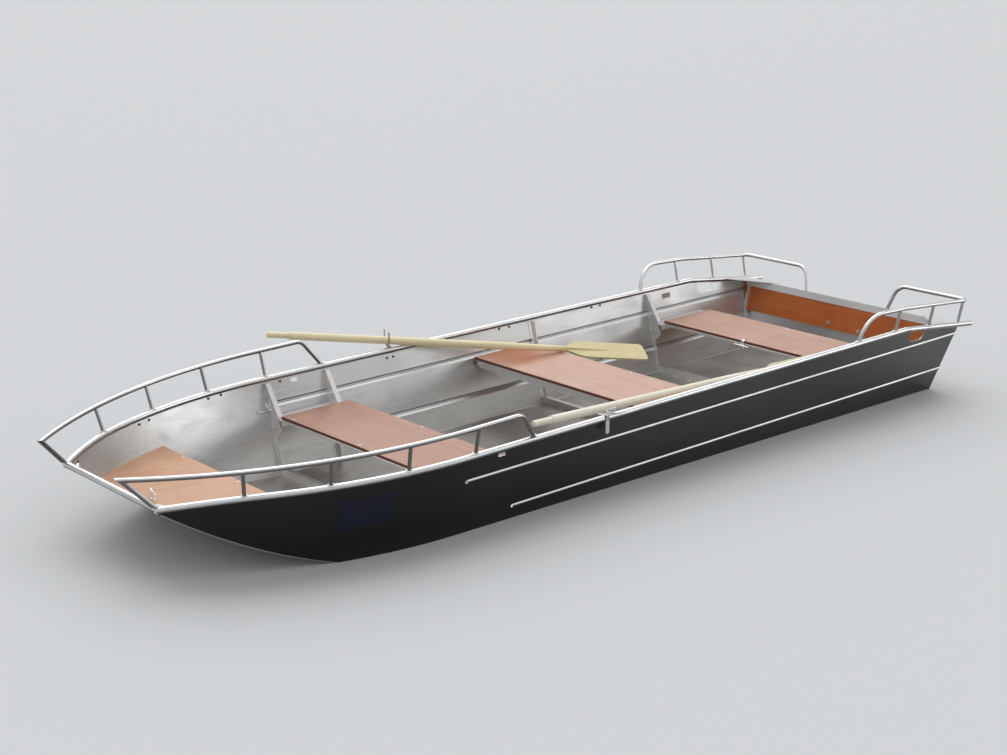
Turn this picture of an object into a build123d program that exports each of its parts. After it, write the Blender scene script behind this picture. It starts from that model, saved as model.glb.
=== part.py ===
from build123d import *
from math import asin, atan2, cos, degrees, radians, sin, sqrt, tan
import os

# An open flat-bottomed rowing boat in welded aluminium sheet, with its pair of oars.
# Millimetres. +X forward, +Y to port, +Z up.
# A station is a distance forward of the transom's top edge. A drop is a depth below the sheer, the
# level of the gunwale tube's centre line amidships. The origin is on the centre line at mid-length,
# on the underside of the runners.

# Hull form
HULL_LENGTH = 5025
HALF_BEAM = 806
HULL_DEPTH = 480
FLARE = 14.5
PLATE = 3
BOW_TURN_LENGTH = 1287
BOW_RADIUS = 2190
ROCKER_LENGTH = 1407
ROCKER_RADIUS = 2480
STERN_BREAK = 548
STERN_DROP = 68
BOW_DROOP_LENGTH = 400
BOW_DROOP = 28

# How far the shapes that cut and trim reach past the hull
CUT_SPARE = 300

# Runners under the flat part of the bottom
RUNNER_DEPTH = 20
RUNNER_WIDTH = 46
RUNNER_FOOT = 26
RUNNER_SPACING = 420
RUNNER_AFT = 180
RUNNER_FORE_GAP = 60

# Tubes round the edge and the hand rails
GUNWALE_DIAMETER = 30
GUNWALE_WALL = 2.5
GUNWALE_OVERHANG = 105
RAIL_DIAMETER = 22
STANCHION_DIAMETER = 17
TRIM_SPARE = 40
EDGE_GAP = 0.8
GUSSET_SIDE = 45
GUSSET_GAP = 2

# Pressed beads along the sides
BEAD_WIDTH = 20
BEAD_HEIGHT = 5
UPPER_BEAD_DROP = 124
UPPER_BEAD_SHORT_OF_TURN = 23
LOWER_BEAD_DROP = 330
LOWER_BEAD_SHORT_OF_ROCKER = 218

# Holes in the sides
HAND_HOLE_AFT = 360
HAND_HOLE_LENGTH = 128
HAND_HOLE_DEPTH = 66
HAND_HOLE_RADIUS = 26
SLOT_TO_BOW = 1505
SLOT_DROP = 33
SLOT_LENGTH = 44
SLOT_HEIGHT = 18

# Cross frames, all but the aft one measured back from the bow
AFT_FRAME = 948
MID_FRAME_TO_BOW = 3130
SEAT_FRAME_TO_BOW = 1695
FORE_FRAME_TO_BOW = 1327
FRAME_SHEET = 3
KNEE_TOP_GAP = 4
KNEE_TOP_WIDTH = 12
KNEE_REACH = 72
KNEE_FLANGE = 27
KNEE_LOBE_RADIUS = 42
KNEE_LOBE_SEAT = 6
KNEE_BOLT_BELOW_SEAT = 65
KNEE_LEG = 26
FLOOR_RIB_HEIGHT = 34
FLOOR_RIB_WIDTH = 30
WALL_RIB_WIDTH = 34
WALL_RIB_DEPTH = 20
WALL_RIB_FORE = 10

# Seats and deck
SEAT_BOARD = 15
SEAT_DROP = 170
SEAT_END_GAP = 3
REAR_SEAT_WIDTH = 408
REAR_SEAT_TO_FRAME = 50
CENTRE_SEAT_DROP = 135
CENTRE_SEAT_WIDTH = 430
CENTRE_SEAT_TO_FRAME = 13
FORE_SEAT_WIDTH = 420
FORE_SEAT_TO_FRAME = 16
LEDGE_LIP = 28
LEDGE_OVERLAP = 26
BEAM_HEIGHT = 42
LIP_HEIGHT = 20
BEAM_WIDTH = 26
BEAM_SETBACK = 12
DECK_DROP = 162
DECK_BOARD = 12
DECK_LENGTH = 653

# Transom fittings
BOARD_THICKNESS = 21
BOARD_HEIGHT = 192
CAP_LEG = 40
CAP_SHEET = 2
CAP_END_GAP = 2
POST_WIDTH = 26
POST_OFFSET = 48
CORNER_PLATE_SIDE = 250
CORNER_PLATE_SHEET = 3
CORNER_PLATE_LIFT = 4

# Hand rails
BOW_RAIL_HEIGHT = 139
BOW_RAIL_FALL = 0.775
BOW_RAIL_OUTBOARD = 35
BOW_RAIL_REACH = 136
BOW_RAIL_FOOT_TO_BOW = 1694
BOW_RAIL_BEND_AFT = 301
BOW_RAIL_BEND = 60
# Foot and top of each stanchion, measured back from the bow
BOW_STANCHIONS = ((300, 279), (635, 622), (987, 975), (1342, 1338))
STERN_RAIL_OUTBOARD = 30
STERN_RAIL_FOOT = 980
STERN_RAIL_TOP = 938
STERN_RAIL_TOP_HEIGHT = 151
STERN_RAIL_CREST = 600
STERN_RAIL_CREST_HEIGHT = 137
STERN_RAIL_AFT = 10
STERN_RAIL_AFT_HEIGHT = 77
STERN_RAIL_INNER_Y = 345
STERN_RAIL_FOOT_Y = 300
STERN_RAIL_BENDS = (150, 500, 45, 80)
STERN_STANCHIONS = (34, 330, 651)
COPE_GAP = 0.2
STRUT_GAP = 0.5

# Cleats
CLEAT_LENGTH = 110
CLEAT_HEIGHT = 34
CLEAT_HORN = 12
CLEAT_TIP = 7
CLEAT_STEM = 18
CLEAT_STEM_WIDTH = 10
CLEAT_FOOT = 5
CLEAT_FOOT_LENGTH = 52
CLEAT_FOOT_WIDTH = 22
CLEAT_FOOT_ROUND = 7
BOW_CLEAT_TO_BOW = 262
BOW_CLEAT_Y = -80
SEAT_CLEAT_Y = -60
SEAT_CLEAT_GAP = 1

# Rowlocks
ROWLOCK_TO_FRAME = 990
SOCKET_OUTBOARD = 12
SOCKET_DIAMETER = 24
SOCKET_LENGTH = 60
SOCKET_TOP_DROP = 7
NOTCH_CLEARANCE = 2
SHANK_DIAMETER = 13
SHANK_CLEARANCE = 0.05
SHANK_TAIL = 6
SHOULDER_DIAMETER = 22
SHOULDER_THICKNESS = 4
SHOULDER_GAP = 0.3
FOLD_PIN_RISE = 12
FOLD_PIN_DIAMETER = 6
TAB_THICKNESS = 6
TAB_CLEARANCE = 0.4
EAR_THICKNESS = 5
EAR_RADIUS = 8
PIN_HEAD = 2
FORK_BAR = 9
FORK_TIP_ROUND = 3
FORK_OPENING = 60
FORK_HEIGHT = 80
FORK_FORWARD = 13.5
FORK_ABOVE_PIN = 13

# Oars
OAR_LENGTH = 2241
OAR_SHAFT = 42
OAR_NECK = 34
OAR_TAPER = 260
GRIP_DIAMETER = 32
GRIP_LENGTH = 118
GRIP_ROUND = 8
BLADE_LENGTH = 570
BLADE_WIDTH = 132
BLADE_THICKNESS = 12
BLADE_THROAT = 70
BLADE_SHOULDER = 190
BLADE_CORNER = 24
SPINE_LENGTH = 330
REST_GAP = 0.3
STARBOARD_OAR_SEAT_Y = -504
STARBOARD_OAR_GRIP = 664
STARBOARD_BLADE_TURN = 26
PORT_OAR_SEAT_Y = 498
PORT_OAR_DRIFT = 11
PORT_OAR_TIP_ON_SEAT = 68

# Sizes worked out from those above
SHEER = RUNNER_DEPTH + HULL_DEPTH
LEAN = tan(radians(FLARE))
SKIN = PLATE / cos(radians(FLARE))
BOW_START = HULL_LENGTH - BOW_TURN_LENGTH
BOW_CENTRE_Y = HALF_BEAM - BOW_RADIUS
ROCKER_START = HULL_LENGTH - ROCKER_LENGTH
MID_FRAME = HULL_LENGTH - MID_FRAME_TO_BOW
SEAT_FRAME = HULL_LENGTH - SEAT_FRAME_TO_BOW
FORE_FRAME = HULL_LENGTH - FORE_FRAME_TO_BOW
DECK_AFT = HULL_LENGTH - DECK_LENGTH
ROWLOCK_STATION = MID_FRAME + ROWLOCK_TO_FRAME
SEAT_TOP = SHEER - SEAT_DROP
CENTRE_SEAT_TOP = SHEER - CENTRE_SEAT_DROP
DECK_TOP = SHEER - DECK_DROP
TUBE_RADIUS = GUNWALE_DIAMETER / 2
WIDE = 2 * (HALF_BEAM + CUT_SPARE)
BEADS = (
    (UPPER_BEAD_DROP, BOW_START - UPPER_BEAD_SHORT_OF_TURN),
    (LOWER_BEAD_DROP, ROCKER_START - LOWER_BEAD_SHORT_OF_ROCKER),
)


def save(name, *shapes):
    """Write one node, moved from stations to the part's own frame."""
    placed = [Pos(-HULL_LENGTH / 2, 0, 0) * solid for shape in shapes for solid in shape.solids()]
    piece = placed[0] if len(placed) == 1 else Compound(children=placed)
    export_step(piece, f"parts/{name}.step")


def save_pair(name, shape):
    """Write a port piece and its mirror image as two nodes."""
    save(f"{name}_port", shape)
    save(f"{name}_starboard", mirrored(shape))


def block(stations, breadths, heights):
    """Box between two stations, two breadths and two heights."""
    spans = (stations, breadths, heights)
    return Pos(*[(low + high) / 2 for low, high in spans]) * Box(*[high - low for low, high in spans])


def mirrored(shape):
    """The same piece on the other side of the boat."""
    return mirror(shape, about=Plane.XZ)


def bow_corner(inset):
    """Corner where the side meets the bow plate, with the outline moved in by inset."""
    station = HULL_LENGTH - inset
    radius = BOW_RADIUS - inset
    return station, BOW_CENTRE_Y + sqrt(radius ** 2 - (station - BOW_START) ** 2)


def sheer_outline(inset, aft=0):
    """Plan of the hull at the sheer: two straight sides, two arcs, straight ends, longer aft by a spare."""
    half = HALF_BEAM - inset
    radius = BOW_RADIUS - inset
    corner_x, corner_y = bow_corner(inset)
    edges = [
        Line((inset - aft, -half), (inset - aft, half)),
        Line((inset - aft, half), (BOW_START, half)),
        RadiusArc((BOW_START, half), (corner_x, corner_y), radius),
        Line((corner_x, corner_y), (corner_x, -corner_y)),
        RadiusArc((corner_x, -corner_y), (BOW_START, -half), radius),
        Line((BOW_START, -half), (inset - aft, -half)),
    ]
    return Plane.XY.offset(SHEER) * make_face(edges)


def side_prism(*edges):
    """Prism right across the boat from an outline drawn in side view."""
    return extrude(Plane.XZ * make_face(edges), amount=WIDE / 2, both=True)


def side_polygon(*points):
    """Prism right across the boat from corners given as (station, height)."""
    return side_prism(*Polyline(*points, close=True).edges())


def above_bottom(lift):
    """All that lies above the bottom's curve raised by lift."""
    radius = ROCKER_RADIUS - lift
    low = RUNNER_DEPTH + lift
    sweep_angle = degrees(asin((ROCKER_LENGTH + CUT_SPARE) / radius))
    rocker = CenterArc((ROCKER_START, RUNNER_DEPTH + ROCKER_RADIUS), radius, -90, sweep_angle)
    end = rocker @ 1
    top = SHEER + CUT_SPARE
    return side_prism(
        Line((-CUT_SPARE, low), (ROCKER_START, low)),
        rocker,
        Line((end.X, end.Y), (end.X, top)),
        Line((end.X, top), (-CUT_SPARE, top)),
        Line((-CUT_SPARE, top), (-CUT_SPARE, low)),
    )


def hull_form(inset, lift, aft=0):
    """Solid inside the flared walls and above the bottom's curve."""
    walls = extrude(sheer_outline(inset, aft), amount=-SHEER, taper=FLARE)
    return walls & above_bottom(lift)


def leaning_block(station, toward):
    """All that lies beyond an end wall whose inner face meets the sheer at a station."""
    far = station - toward * CUT_SPARE
    foot = station + toward * SHEER * LEAN
    head = station - toward * CUT_SPARE * LEAN
    top = SHEER + CUT_SPARE
    return side_polygon((head, top), (foot, 0), (far, 0), (far, top))


def rod(path, diameter):
    """Solid round bar along a path, mitred at its corners."""
    start = Plane(path @ 0, z_dir=path % 0)
    return sweep(start * Circle(diameter / 2), path=path, transition=Transition.RIGHT)


def tube(path, diameter, wall):
    """Round tube along a path, open at its ends."""
    return rod(path, diameter) - rod(path, diameter - 2 * wall)


def bar(start, end, diameter):
    """Straight round bar between two points."""
    return rod(Line(start, end), diameter)


def wall_y(drop):
    """Half breadth between the inner faces of the straight sides at a drop."""
    return HALF_BEAM - SKIN - drop * LEAN


def sheer_y(station, drop=0, outboard=0):
    """Half breadth to the hull's outside at a station and a drop."""
    if station <= BOW_START:
        return HALF_BEAM - drop * LEAN + outboard
    radius = BOW_RADIUS - drop * LEAN + outboard
    return BOW_CENTRE_Y + sqrt(radius ** 2 - (station - BOW_START) ** 2)


def gunwale_drop(station):
    """Drop of the gunwale tube's centre line at a station."""
    if station < STERN_BREAK:
        return STERN_DROP * (STERN_BREAK - station) / STERN_BREAK
    droop_start = HULL_LENGTH - BOW_DROOP_LENGTH
    if station > droop_start:
        return BOW_DROOP * ((station - droop_start) / BOW_DROOP_LENGTH) ** 2
    return 0


def gunwale_point(station, outboard=0, lift=0):
    """Point on the port gunwale tube's centre line, or out from it and above it."""
    drop = gunwale_drop(station)
    return Vector(station, sheer_y(station, drop, outboard), SHEER - drop + lift)


# Hull shell: bottom, sides, transom and bow plate, each a sheet of the same thickness
outside = hull_form(0, 0)
walls_inside = extrude(sheer_outline(SKIN), amount=-SHEER, taper=FLARE)
inside = hull_form(SKIN, PLATE)
aft_end = leaning_block(SKIN, 1)
fore_end = leaning_block(HULL_LENGTH - SKIN, -1)
above_floor = above_bottom(PLATE)

# Gunwale tube of the port side: sloped aft of the break, level, round the bow's arc, drooping
stern_run = Polyline(gunwale_point(-GUNWALE_OVERHANG), gunwale_point(STERN_BREAK), gunwale_point(BOW_START))
droop_start = gunwale_point(HULL_LENGTH - BOW_DROOP_LENGTH)
bow_arc = RadiusArc(gunwale_point(BOW_START), droop_start, BOW_RADIUS)
corner = Vector(*bow_corner(BOW_DROOP * LEAN), SHEER - BOW_DROOP)
droop_arc = TangentArc(droop_start, corner, tangent=bow_arc % 1)
droop_end = Line(corner, corner + (droop_arc % 1) * TRIM_SPARE)
gunwale_path = Wire([*stern_run.edges(), bow_arc, droop_arc, droop_end])
mitre = Plane(corner, z_dir=(droop_arc % 1) + Vector(0, -1, 0))
gunwale = split(tube(gunwale_path, GUNWALE_DIAMETER, GUNWALE_WALL), bisect_by=mitre, keep=Keep.BOTTOM)
bow_line = Line(corner - Vector(0, 2 * corner.Y + TRIM_SPARE, 0), corner + Vector(0, TRIM_SPARE, 0))
bow_tube = split(tube(bow_line, GUNWALE_DIAMETER, GUNWALE_WALL), bisect_by=mitre, keep=Keep.TOP)
bow_tube = bow_tube & mirrored(bow_tube)

# The sheets stop where they meet the underside of the tube
tube_drop = GUNWALE_DIAMETER / 2 * cos(radians(FLARE)) + EDGE_GAP
break_z = SHEER - tube_drop
stern_z = break_z - STERN_DROP * (STERN_BREAK + CUT_SPARE) / STERN_BREAK
droop_radius = BOW_DROOP_LENGTH ** 2 / (2 * BOW_DROOP)
droop_angle = degrees(asin((BOW_DROOP_LENGTH + TRIM_SPARE) / droop_radius))
droop_x = HULL_LENGTH - BOW_DROOP_LENGTH
droop_curve = CenterArc((droop_x, break_z - droop_radius), droop_radius, 90, -droop_angle)
droop_tip = droop_curve @ 1
above_sheer = side_prism(
    Line((-CUT_SPARE, stern_z), (STERN_BREAK, break_z)),
    Line((STERN_BREAK, break_z), (droop_x, break_z)),
    droop_curve,
    Line((droop_tip.X, droop_tip.Y), (droop_tip.X, 2 * SHEER)),
    Line((droop_tip.X, 2 * SHEER), (-CUT_SPARE, 2 * SHEER)),
    Line((-CUT_SPARE, 2 * SHEER), (-CUT_SPARE, stern_z)),
)

# A bead is a strip pressed out of the sheet: two concentric arcs, with a domed nose at its fore end
bead_radius = (BEAD_WIDTH ** 2 / 4 + BEAD_HEIGHT ** 2) / (2 * BEAD_HEIGHT)
bead_depth = bead_radius - BEAD_HEIGHT
bore_radius = bead_radius - PLATE
bead_half = BEAD_WIDTH / 2
bore_half = sqrt(bore_radius ** 2 - (bead_depth - PLATE) ** 2)

# Frame of the port side sheet: X down its slope from the sheer, Y outward, Z forward
wall_plane = Plane(
    origin=(0, HALF_BEAM, SHEER),
    x_dir=(0, -sin(radians(FLARE)), -cos(radians(FLARE))),
    z_dir=(1, 0, 0),
)


def on_circle(radius, reach):
    """Point on a bead's arc halfway round from its crown to a half width."""
    angle = asin(reach / radius) / 2
    return radius * sin(angle), radius * cos(angle) - bead_depth


def bead(end):
    """Bead along the sheet up to a station, and the room to cut for it, both about their own line."""
    half_section = [
        Line((0, bore_radius - bead_depth), (0, BEAD_HEIGHT)),
        ThreePointArc((0, BEAD_HEIGHT), on_circle(bead_radius, bead_half), (bead_half, 0)),
        Line((bead_half, 0), (bead_half, -PLATE)),
        Line((bead_half, -PLATE), (bore_half, -PLATE)),
        ThreePointArc((bore_half, -PLATE), on_circle(bore_radius, bore_half), (0, bore_radius - bead_depth)),
    ]
    half = make_face(half_section)
    straight = extrude(half + mirror(half, about=Plane.YZ), amount=end - bead_half)
    nose_at = Pos(0, 0, end - bead_half)
    nose = nose_at * revolve(half, axis=Axis.Y, revolution_arc=180)
    room = nose_at * Rot(90, 0, 0) * Cylinder(bead_half, BEAD_WIDTH)
    room += Pos(0, 0, (end - bead_half) / 2) * Box(BEAD_WIDTH, BEAD_WIDTH, end - bead_half)
    return straight + nose, room


port_half = Pos(HULL_LENGTH / 2, HALF_BEAM, SHEER) * Box(2 * HULL_LENGTH, 2 * HALF_BEAM, 4 * HULL_DEPTH)
side = (outside & port_half) - walls_inside
for drop, end in BEADS:
    strip, room = bead(end)
    seat_line = wall_plane * Pos(drop / cos(radians(FLARE)), 0, 0)
    side = side - seat_line * room
    side = side + seat_line * strip
side = (side & above_floor) - aft_end - fore_end - above_sheer

# The hand hole opens right up to the gunwale tube, and the slot is a small oval
hand_low = SHEER - gunwale_drop(HAND_HOLE_AFT) - HAND_HOLE_DEPTH
hand_hole = Pos(HAND_HOLE_AFT + HAND_HOLE_LENGTH / 2, HALF_BEAM, hand_low + HAND_HOLE_DEPTH) * (
    Plane.XZ * RectangleRounded(HAND_HOLE_LENGTH, 2 * HAND_HOLE_DEPTH, HAND_HOLE_RADIUS)
)
slot = Pos(HULL_LENGTH - SLOT_TO_BOW, HALF_BEAM, SHEER - SLOT_DROP) * (
    Plane.XZ * SlotOverall(SLOT_LENGTH, SLOT_HEIGHT)
)
side -= extrude(hand_hole, amount=CUT_SPARE, both=True)
side -= extrude(slot, amount=CUT_SPARE, both=True)
bottom = (outside - above_floor) - aft_end - fore_end
transom = (hull_form(0, 0, TRIM_SPARE) & aft_end) - leaning_block(0, 1) - above_sheer
under_bow_tube = corner.Z - TUBE_RADIUS - EDGE_GAP
bow_plate = outside & fore_end & block((0, 2 * HULL_LENGTH), (-WIDE, WIDE), (0, under_bow_tube))

# Frame of the transom: X to port, Y up the sloping sheet from its top edge, Z into the boat
transom_top = SHEER - STERN_DROP
transom_plane = Plane(
    origin=(STERN_DROP * LEAN, 0, transom_top),
    x_dir=(0, 1, 0),
    z_dir=(cos(radians(FLARE)), 0, sin(radians(FLARE))),
)


def on_transom(width, height, thickness, x=0, top=0, inward=0):
    """Block laid on the transom's frame, hanging down from a height along its slope."""
    return transom_plane * Pos(x, top - height / 2, inward + thickness / 2) * Box(width, height, thickness)


# Cap: a channel over the transom sheet and the board behind it, between the gunwale tubes
front_of_board = PLATE + BOARD_THICKNESS
cap_span = extrude(
    Plane.XY.offset(SHEER) * Rectangle(HULL_LENGTH, 2 * (HALF_BEAM - GUNWALE_DIAMETER / 2 - CAP_END_GAP)),
    amount=-HULL_DEPTH, taper=FLARE,
)
cap = on_transom(WIDE, CAP_LEG + CAP_SHEET, front_of_board + 2 * CAP_SHEET, top=CAP_SHEET, inward=-CAP_SHEET)
cap = (cap - on_transom(WIDE, CAP_LEG, front_of_board)) & cap_span
board = on_transom(WIDE, BOARD_HEIGHT, BOARD_THICKNESS, inward=PLATE) & walls_inside
board_notch = on_transom(
    2 * (TUBE_RADIUS + CAP_END_GAP), TUBE_RADIUS + CAP_END_GAP, BOARD_THICKNESS,
    x=sheer_y(0, STERN_DROP), inward=PLATE,
)
board -= board_notch + mirrored(board_notch)

# Posts: angles that hold the ends of the board, from the cap down to the floor
post_y = wall_y(STERN_DROP) - POST_OFFSET
post_top = -CAP_LEG
post = on_transom(POST_WIDTH, HULL_DEPTH, FRAME_SHEET, x=post_y, top=post_top, inward=front_of_board)
post += on_transom(
    FRAME_SHEET, HULL_DEPTH, POST_WIDTH, x=post_y - POST_WIDTH / 2, top=post_top, inward=front_of_board
)
post = post & inside

# Corner plates between gunwale and transom, in the plane of the sloping gunwales
stern_slope = Plane(
    origin=(0, 0, transom_top), x_dir=(STERN_BREAK, 0, STERN_DROP), z_dir=(-STERN_DROP, 0, STERN_BREAK)
)
plate_edge = sheer_y(0, STERN_DROP) - sqrt(TUBE_RADIUS ** 2 - CORNER_PLATE_LIFT ** 2)
triangle = Polyline(
    (0, plate_edge), (CORNER_PLATE_SIDE, plate_edge), (0, plate_edge - CORNER_PLATE_SIDE), close=True
)
corner_plate = stern_slope * Pos(0, 0, CORNER_PLATE_LIFT) * extrude(
    make_face(triangle.edges()), amount=CORNER_PLATE_SHEET
)

# Small gussets inside the corners of the bow tube
along = droop_arc % 1
inner_x = corner.X - TUBE_RADIUS
inner_y = corner.Y - TUBE_RADIUS * (1 + along.X) / -along.Y
gusset = Polyline(
    (inner_x, inner_y - GUSSET_SIDE),
    (inner_x, inner_y - GUSSET_GAP),
    (inner_x - GUSSET_SIDE * along.X, inner_y - GUSSET_GAP - GUSSET_SIDE * along.Y),
    close=True,
)
bow_gusset = Pos(0, 0, corner.Z - FRAME_SHEET / 2) * extrude(make_face(gusset.edges()), amount=FRAME_SHEET)

# Runners: three flat-footed strips along the flat of the bottom
runner_length = ROCKER_START - RUNNER_FORE_GAP - RUNNER_AFT
runner_section = make_face(
    Polyline(
        (-RUNNER_WIDTH / 2, RUNNER_DEPTH), (RUNNER_WIDTH / 2, RUNNER_DEPTH),
        (RUNNER_FOOT / 2, 0), (-RUNNER_FOOT / 2, 0), close=True,
    ).edges()
)
runner = extrude(Plane.YZ.offset(RUNNER_AFT) * runner_section, amount=runner_length)

# Knees: flanged gussets from the gunwale to the seats, with a bolted lobe and a leg to the floor


def cross_sheet(points, station, thickness):
    """Sheet across the boat at a station from corners given as (y, height)."""
    face = make_face(Polyline(*points, close=True).edges())
    return extrude(Plane.YZ.offset(station) * face, amount=thickness)


def knee(station):
    """Port knee whose sheet stands forward of a station, its flange turned aft."""
    outer = 2 * HALF_BEAM
    top = TUBE_RADIUS + KNEE_TOP_GAP
    top_z = SHEER - top
    top_y = wall_y(top) - KNEE_TOP_WIDTH
    foot_y = wall_y(SEAT_DROP) - KNEE_REACH
    bolt_drop = SEAT_DROP + KNEE_BOLT_BELOW_SEAT
    bolt_z = SHEER - bolt_drop
    bolt_y = wall_y(bolt_drop) - KNEE_LOBE_RADIUS + KNEE_LOBE_SEAT
    leg_top_y = wall_y(bolt_drop) - KNEE_LEG
    leg_foot_y = wall_y(HULL_DEPTH) - KNEE_LEG
    gusset = [(outer, top_z), (top_y, top_z), (foot_y, SEAT_TOP), (outer, SEAT_TOP)]
    neck = [(outer, SEAT_TOP), (foot_y, SEAT_TOP), (bolt_y - KNEE_LOBE_RADIUS, bolt_z), (outer, bolt_z)]
    leg = [(outer, bolt_z), (leg_top_y, bolt_z), (leg_foot_y, RUNNER_DEPTH), (outer, RUNNER_DEPTH)]
    fold = [
        (top_y, top_z), (top_y - FRAME_SHEET, top_z),
        (foot_y - FRAME_SHEET, SEAT_TOP), (foot_y, SEAT_TOP),
    ]
    shape = cross_sheet(gusset, station, FRAME_SHEET)
    shape += cross_sheet(fold, station + FRAME_SHEET - KNEE_FLANGE, KNEE_FLANGE)
    shape += cross_sheet(neck, station, FRAME_SHEET)
    shape += cross_sheet(leg, station, FRAME_SHEET)
    lobe = Plane.YZ.offset(station) * (Pos(bolt_y, bolt_z) * Circle(KNEE_LOBE_RADIUS))
    shape += extrude(lobe, amount=FRAME_SHEET)
    return shape & inside


KNEES = (("knee_aft", AFT_FRAME), ("knee_seat", SEAT_FRAME), ("knee_fore", FORE_FRAME))
knees = {name: knee(station) for name, station in KNEES}

# Floor ribs: angles right across the floor, their upright against the knees
rib_top = RUNNER_DEPTH + PLATE + FLOOR_RIB_HEIGHT


def floor_rib(station):
    """Angle across the floor that ends at a station."""
    upright = block((station - FRAME_SHEET, station), (-HALF_BEAM, HALF_BEAM), (RUNNER_DEPTH, rib_top))
    flange = block(
        (station - FLOOR_RIB_WIDTH, station), (-HALF_BEAM, HALF_BEAM), (rib_top, rib_top + FRAME_SHEET)
    )
    return (upright + flange) & inside


# Wall ribs: angles down the side between the gunwale and the middle floor rib
rib_fore = MID_FRAME + WALL_RIB_FORE
rib_stations = (rib_fore - WALL_RIB_WIDTH, rib_fore)
rib_heights = (rib_top + FRAME_SHEET, SHEER - TUBE_RADIUS - KNEE_TOP_GAP)


def on_wall(depth, stations):
    """Slab on the inner face of the port side, so deep and between two stations."""
    low, high = stations
    slab = Pos(HULL_DEPTH, -PLATE - depth / 2, (low + high) / 2) * Box(2 * HULL_DEPTH, depth, high - low)
    return wall_plane * slab


wall_rib = on_wall(FRAME_SHEET, rib_stations)
wall_rib += on_wall(WALL_RIB_DEPTH, (rib_stations[0], rib_stations[0] + FRAME_SHEET))
wall_rib = wall_rib & block(rib_stations, (0, 2 * HALF_BEAM), rib_heights)

# Seats: boards on ledges at the walls, with a folded beam or lip under each long edge
seat_half = wall_y(SEAT_DROP) - KNEE_REACH - FRAME_SHEET - SEAT_END_GAP
centre_seat_half = wall_y(CENTRE_SEAT_DROP + SEAT_BOARD) - SEAT_END_GAP
rear_seat_fore = AFT_FRAME - REAR_SEAT_TO_FRAME
centre_seat_aft = MID_FRAME + CENTRE_SEAT_TO_FRAME
fore_seat_fore = FORE_FRAME - FORE_SEAT_TO_FRAME
rear_span = (rear_seat_fore - REAR_SEAT_WIDTH, rear_seat_fore)
centre_span = (centre_seat_aft, centre_seat_aft + CENTRE_SEAT_WIDTH)
fore_span = (fore_seat_fore - FORE_SEAT_WIDTH, fore_seat_fore)


def board_seat(span, half, top):
    """Seat board between two stations."""
    return block(span, (-half, half), (top - SEAT_BOARD, top))


def ledge(stations, half, top):
    """Port ledge: a shelf from the wall under the end of a seat, with a lip turned down."""
    under = top - SEAT_BOARD
    inner = half - LEDGE_OVERLAP
    shelf = block(stations, (inner, 2 * HALF_BEAM), (under - FRAME_SHEET, under))
    lip = block(stations, (inner, inner + FRAME_SHEET), (under - LEDGE_LIP, under))
    return (shelf + lip) & inside


def beam(station, toward, half, top, height, channel):
    """Folded sheet under a seat's long edge: an upright web, the flange under the board, a lower flange on a channel."""
    under = top - SEAT_BOARD
    inner = half - LEDGE_OVERLAP
    face = station + toward * BEAM_SETBACK
    web = sorted((face, face + toward * FRAME_SHEET))
    flange = sorted((face, face + toward * BEAM_WIDTH))
    shape = block(web, (-inner, inner), (under - height, under))
    shape += block(flange, (-inner, inner), (under - FRAME_SHEET, under))
    if channel:
        shape += block(flange, (-inner, inner), (under - height, under - height + FRAME_SHEET))
    return shape


# Name, stations, half length, top, height of the beams, whether they are channels, stations of the ledges
SEATS = (
    ("rear_seat", rear_span, seat_half, SEAT_TOP, LIP_HEIGHT, False, (rear_span[0], AFT_FRAME)),
    ("centre_seat", centre_span, centre_seat_half, CENTRE_SEAT_TOP, BEAM_HEIGHT, True, centre_span),
    ("fore_seat", fore_span, seat_half, SEAT_TOP, LIP_HEIGHT, False, (fore_span[0], FORE_FRAME)),
)

# Bow deck: a board cut to the walls and the rising bottom, with a folded beam under its aft edge
deck_room = (DECK_AFT, HULL_LENGTH)
deck = block(deck_room, (-HALF_BEAM, HALF_BEAM), (DECK_TOP - DECK_BOARD, DECK_TOP)) & inside
deck_under = DECK_TOP - DECK_BOARD
deck_web = (DECK_AFT + BEAM_SETBACK, DECK_AFT + BEAM_SETBACK + FRAME_SHEET)
deck_beam = block(deck_web, (-HALF_BEAM, HALF_BEAM), (deck_under - BEAM_HEIGHT, deck_under))
deck_beam += block(
    (deck_web[0], deck_web[0] + BEAM_WIDTH), (-HALF_BEAM, HALF_BEAM), (deck_under - FRAME_SHEET, deck_under)
)
deck_beam = deck_beam & inside

# Horn cleat on its foot, its horns along X
horn_z = CLEAT_HEIGHT - CLEAT_HORN / 2
tip_x = CLEAT_LENGTH / 2 - CLEAT_TIP / 2
horn_outline = [
    Line((0, 0), (CLEAT_LENGTH / 2, 0)),
    ThreePointArc(
        (CLEAT_LENGTH / 2, 0), (tip_x + CLEAT_TIP / 2 * cos(radians(45)), CLEAT_TIP / 2 * sin(radians(45))),
        (tip_x, CLEAT_TIP / 2),
    ),
    Line((tip_x, CLEAT_TIP / 2), (0, CLEAT_HORN / 2)),
    Line((0, CLEAT_HORN / 2), (0, 0)),
]
half_horn = revolve(make_face(horn_outline), axis=Axis.X)
cleat = Pos(0, 0, horn_z) * (half_horn + mirror(half_horn, about=Plane.YZ))
cleat_foot = Plane.XY * RectangleRounded(CLEAT_FOOT_LENGTH, CLEAT_FOOT_WIDTH, CLEAT_FOOT_ROUND)
cleat += extrude(cleat_foot, amount=CLEAT_FOOT)
cleat += Pos(0, 0, horn_z / 2) * Box(CLEAT_STEM, CLEAT_STEM_WIDTH, horn_z)
bow_cleat = Pos(HULL_LENGTH - BOW_CLEAT_TO_BOW, BOW_CLEAT_Y, DECK_TOP) * cleat
cleat_face = rear_seat_fore - BEAM_SETBACK
cleat_centre_z = SEAT_TOP - SEAT_BOARD - SEAT_CLEAT_GAP - CLEAT_FOOT_WIDTH / 2
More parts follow.
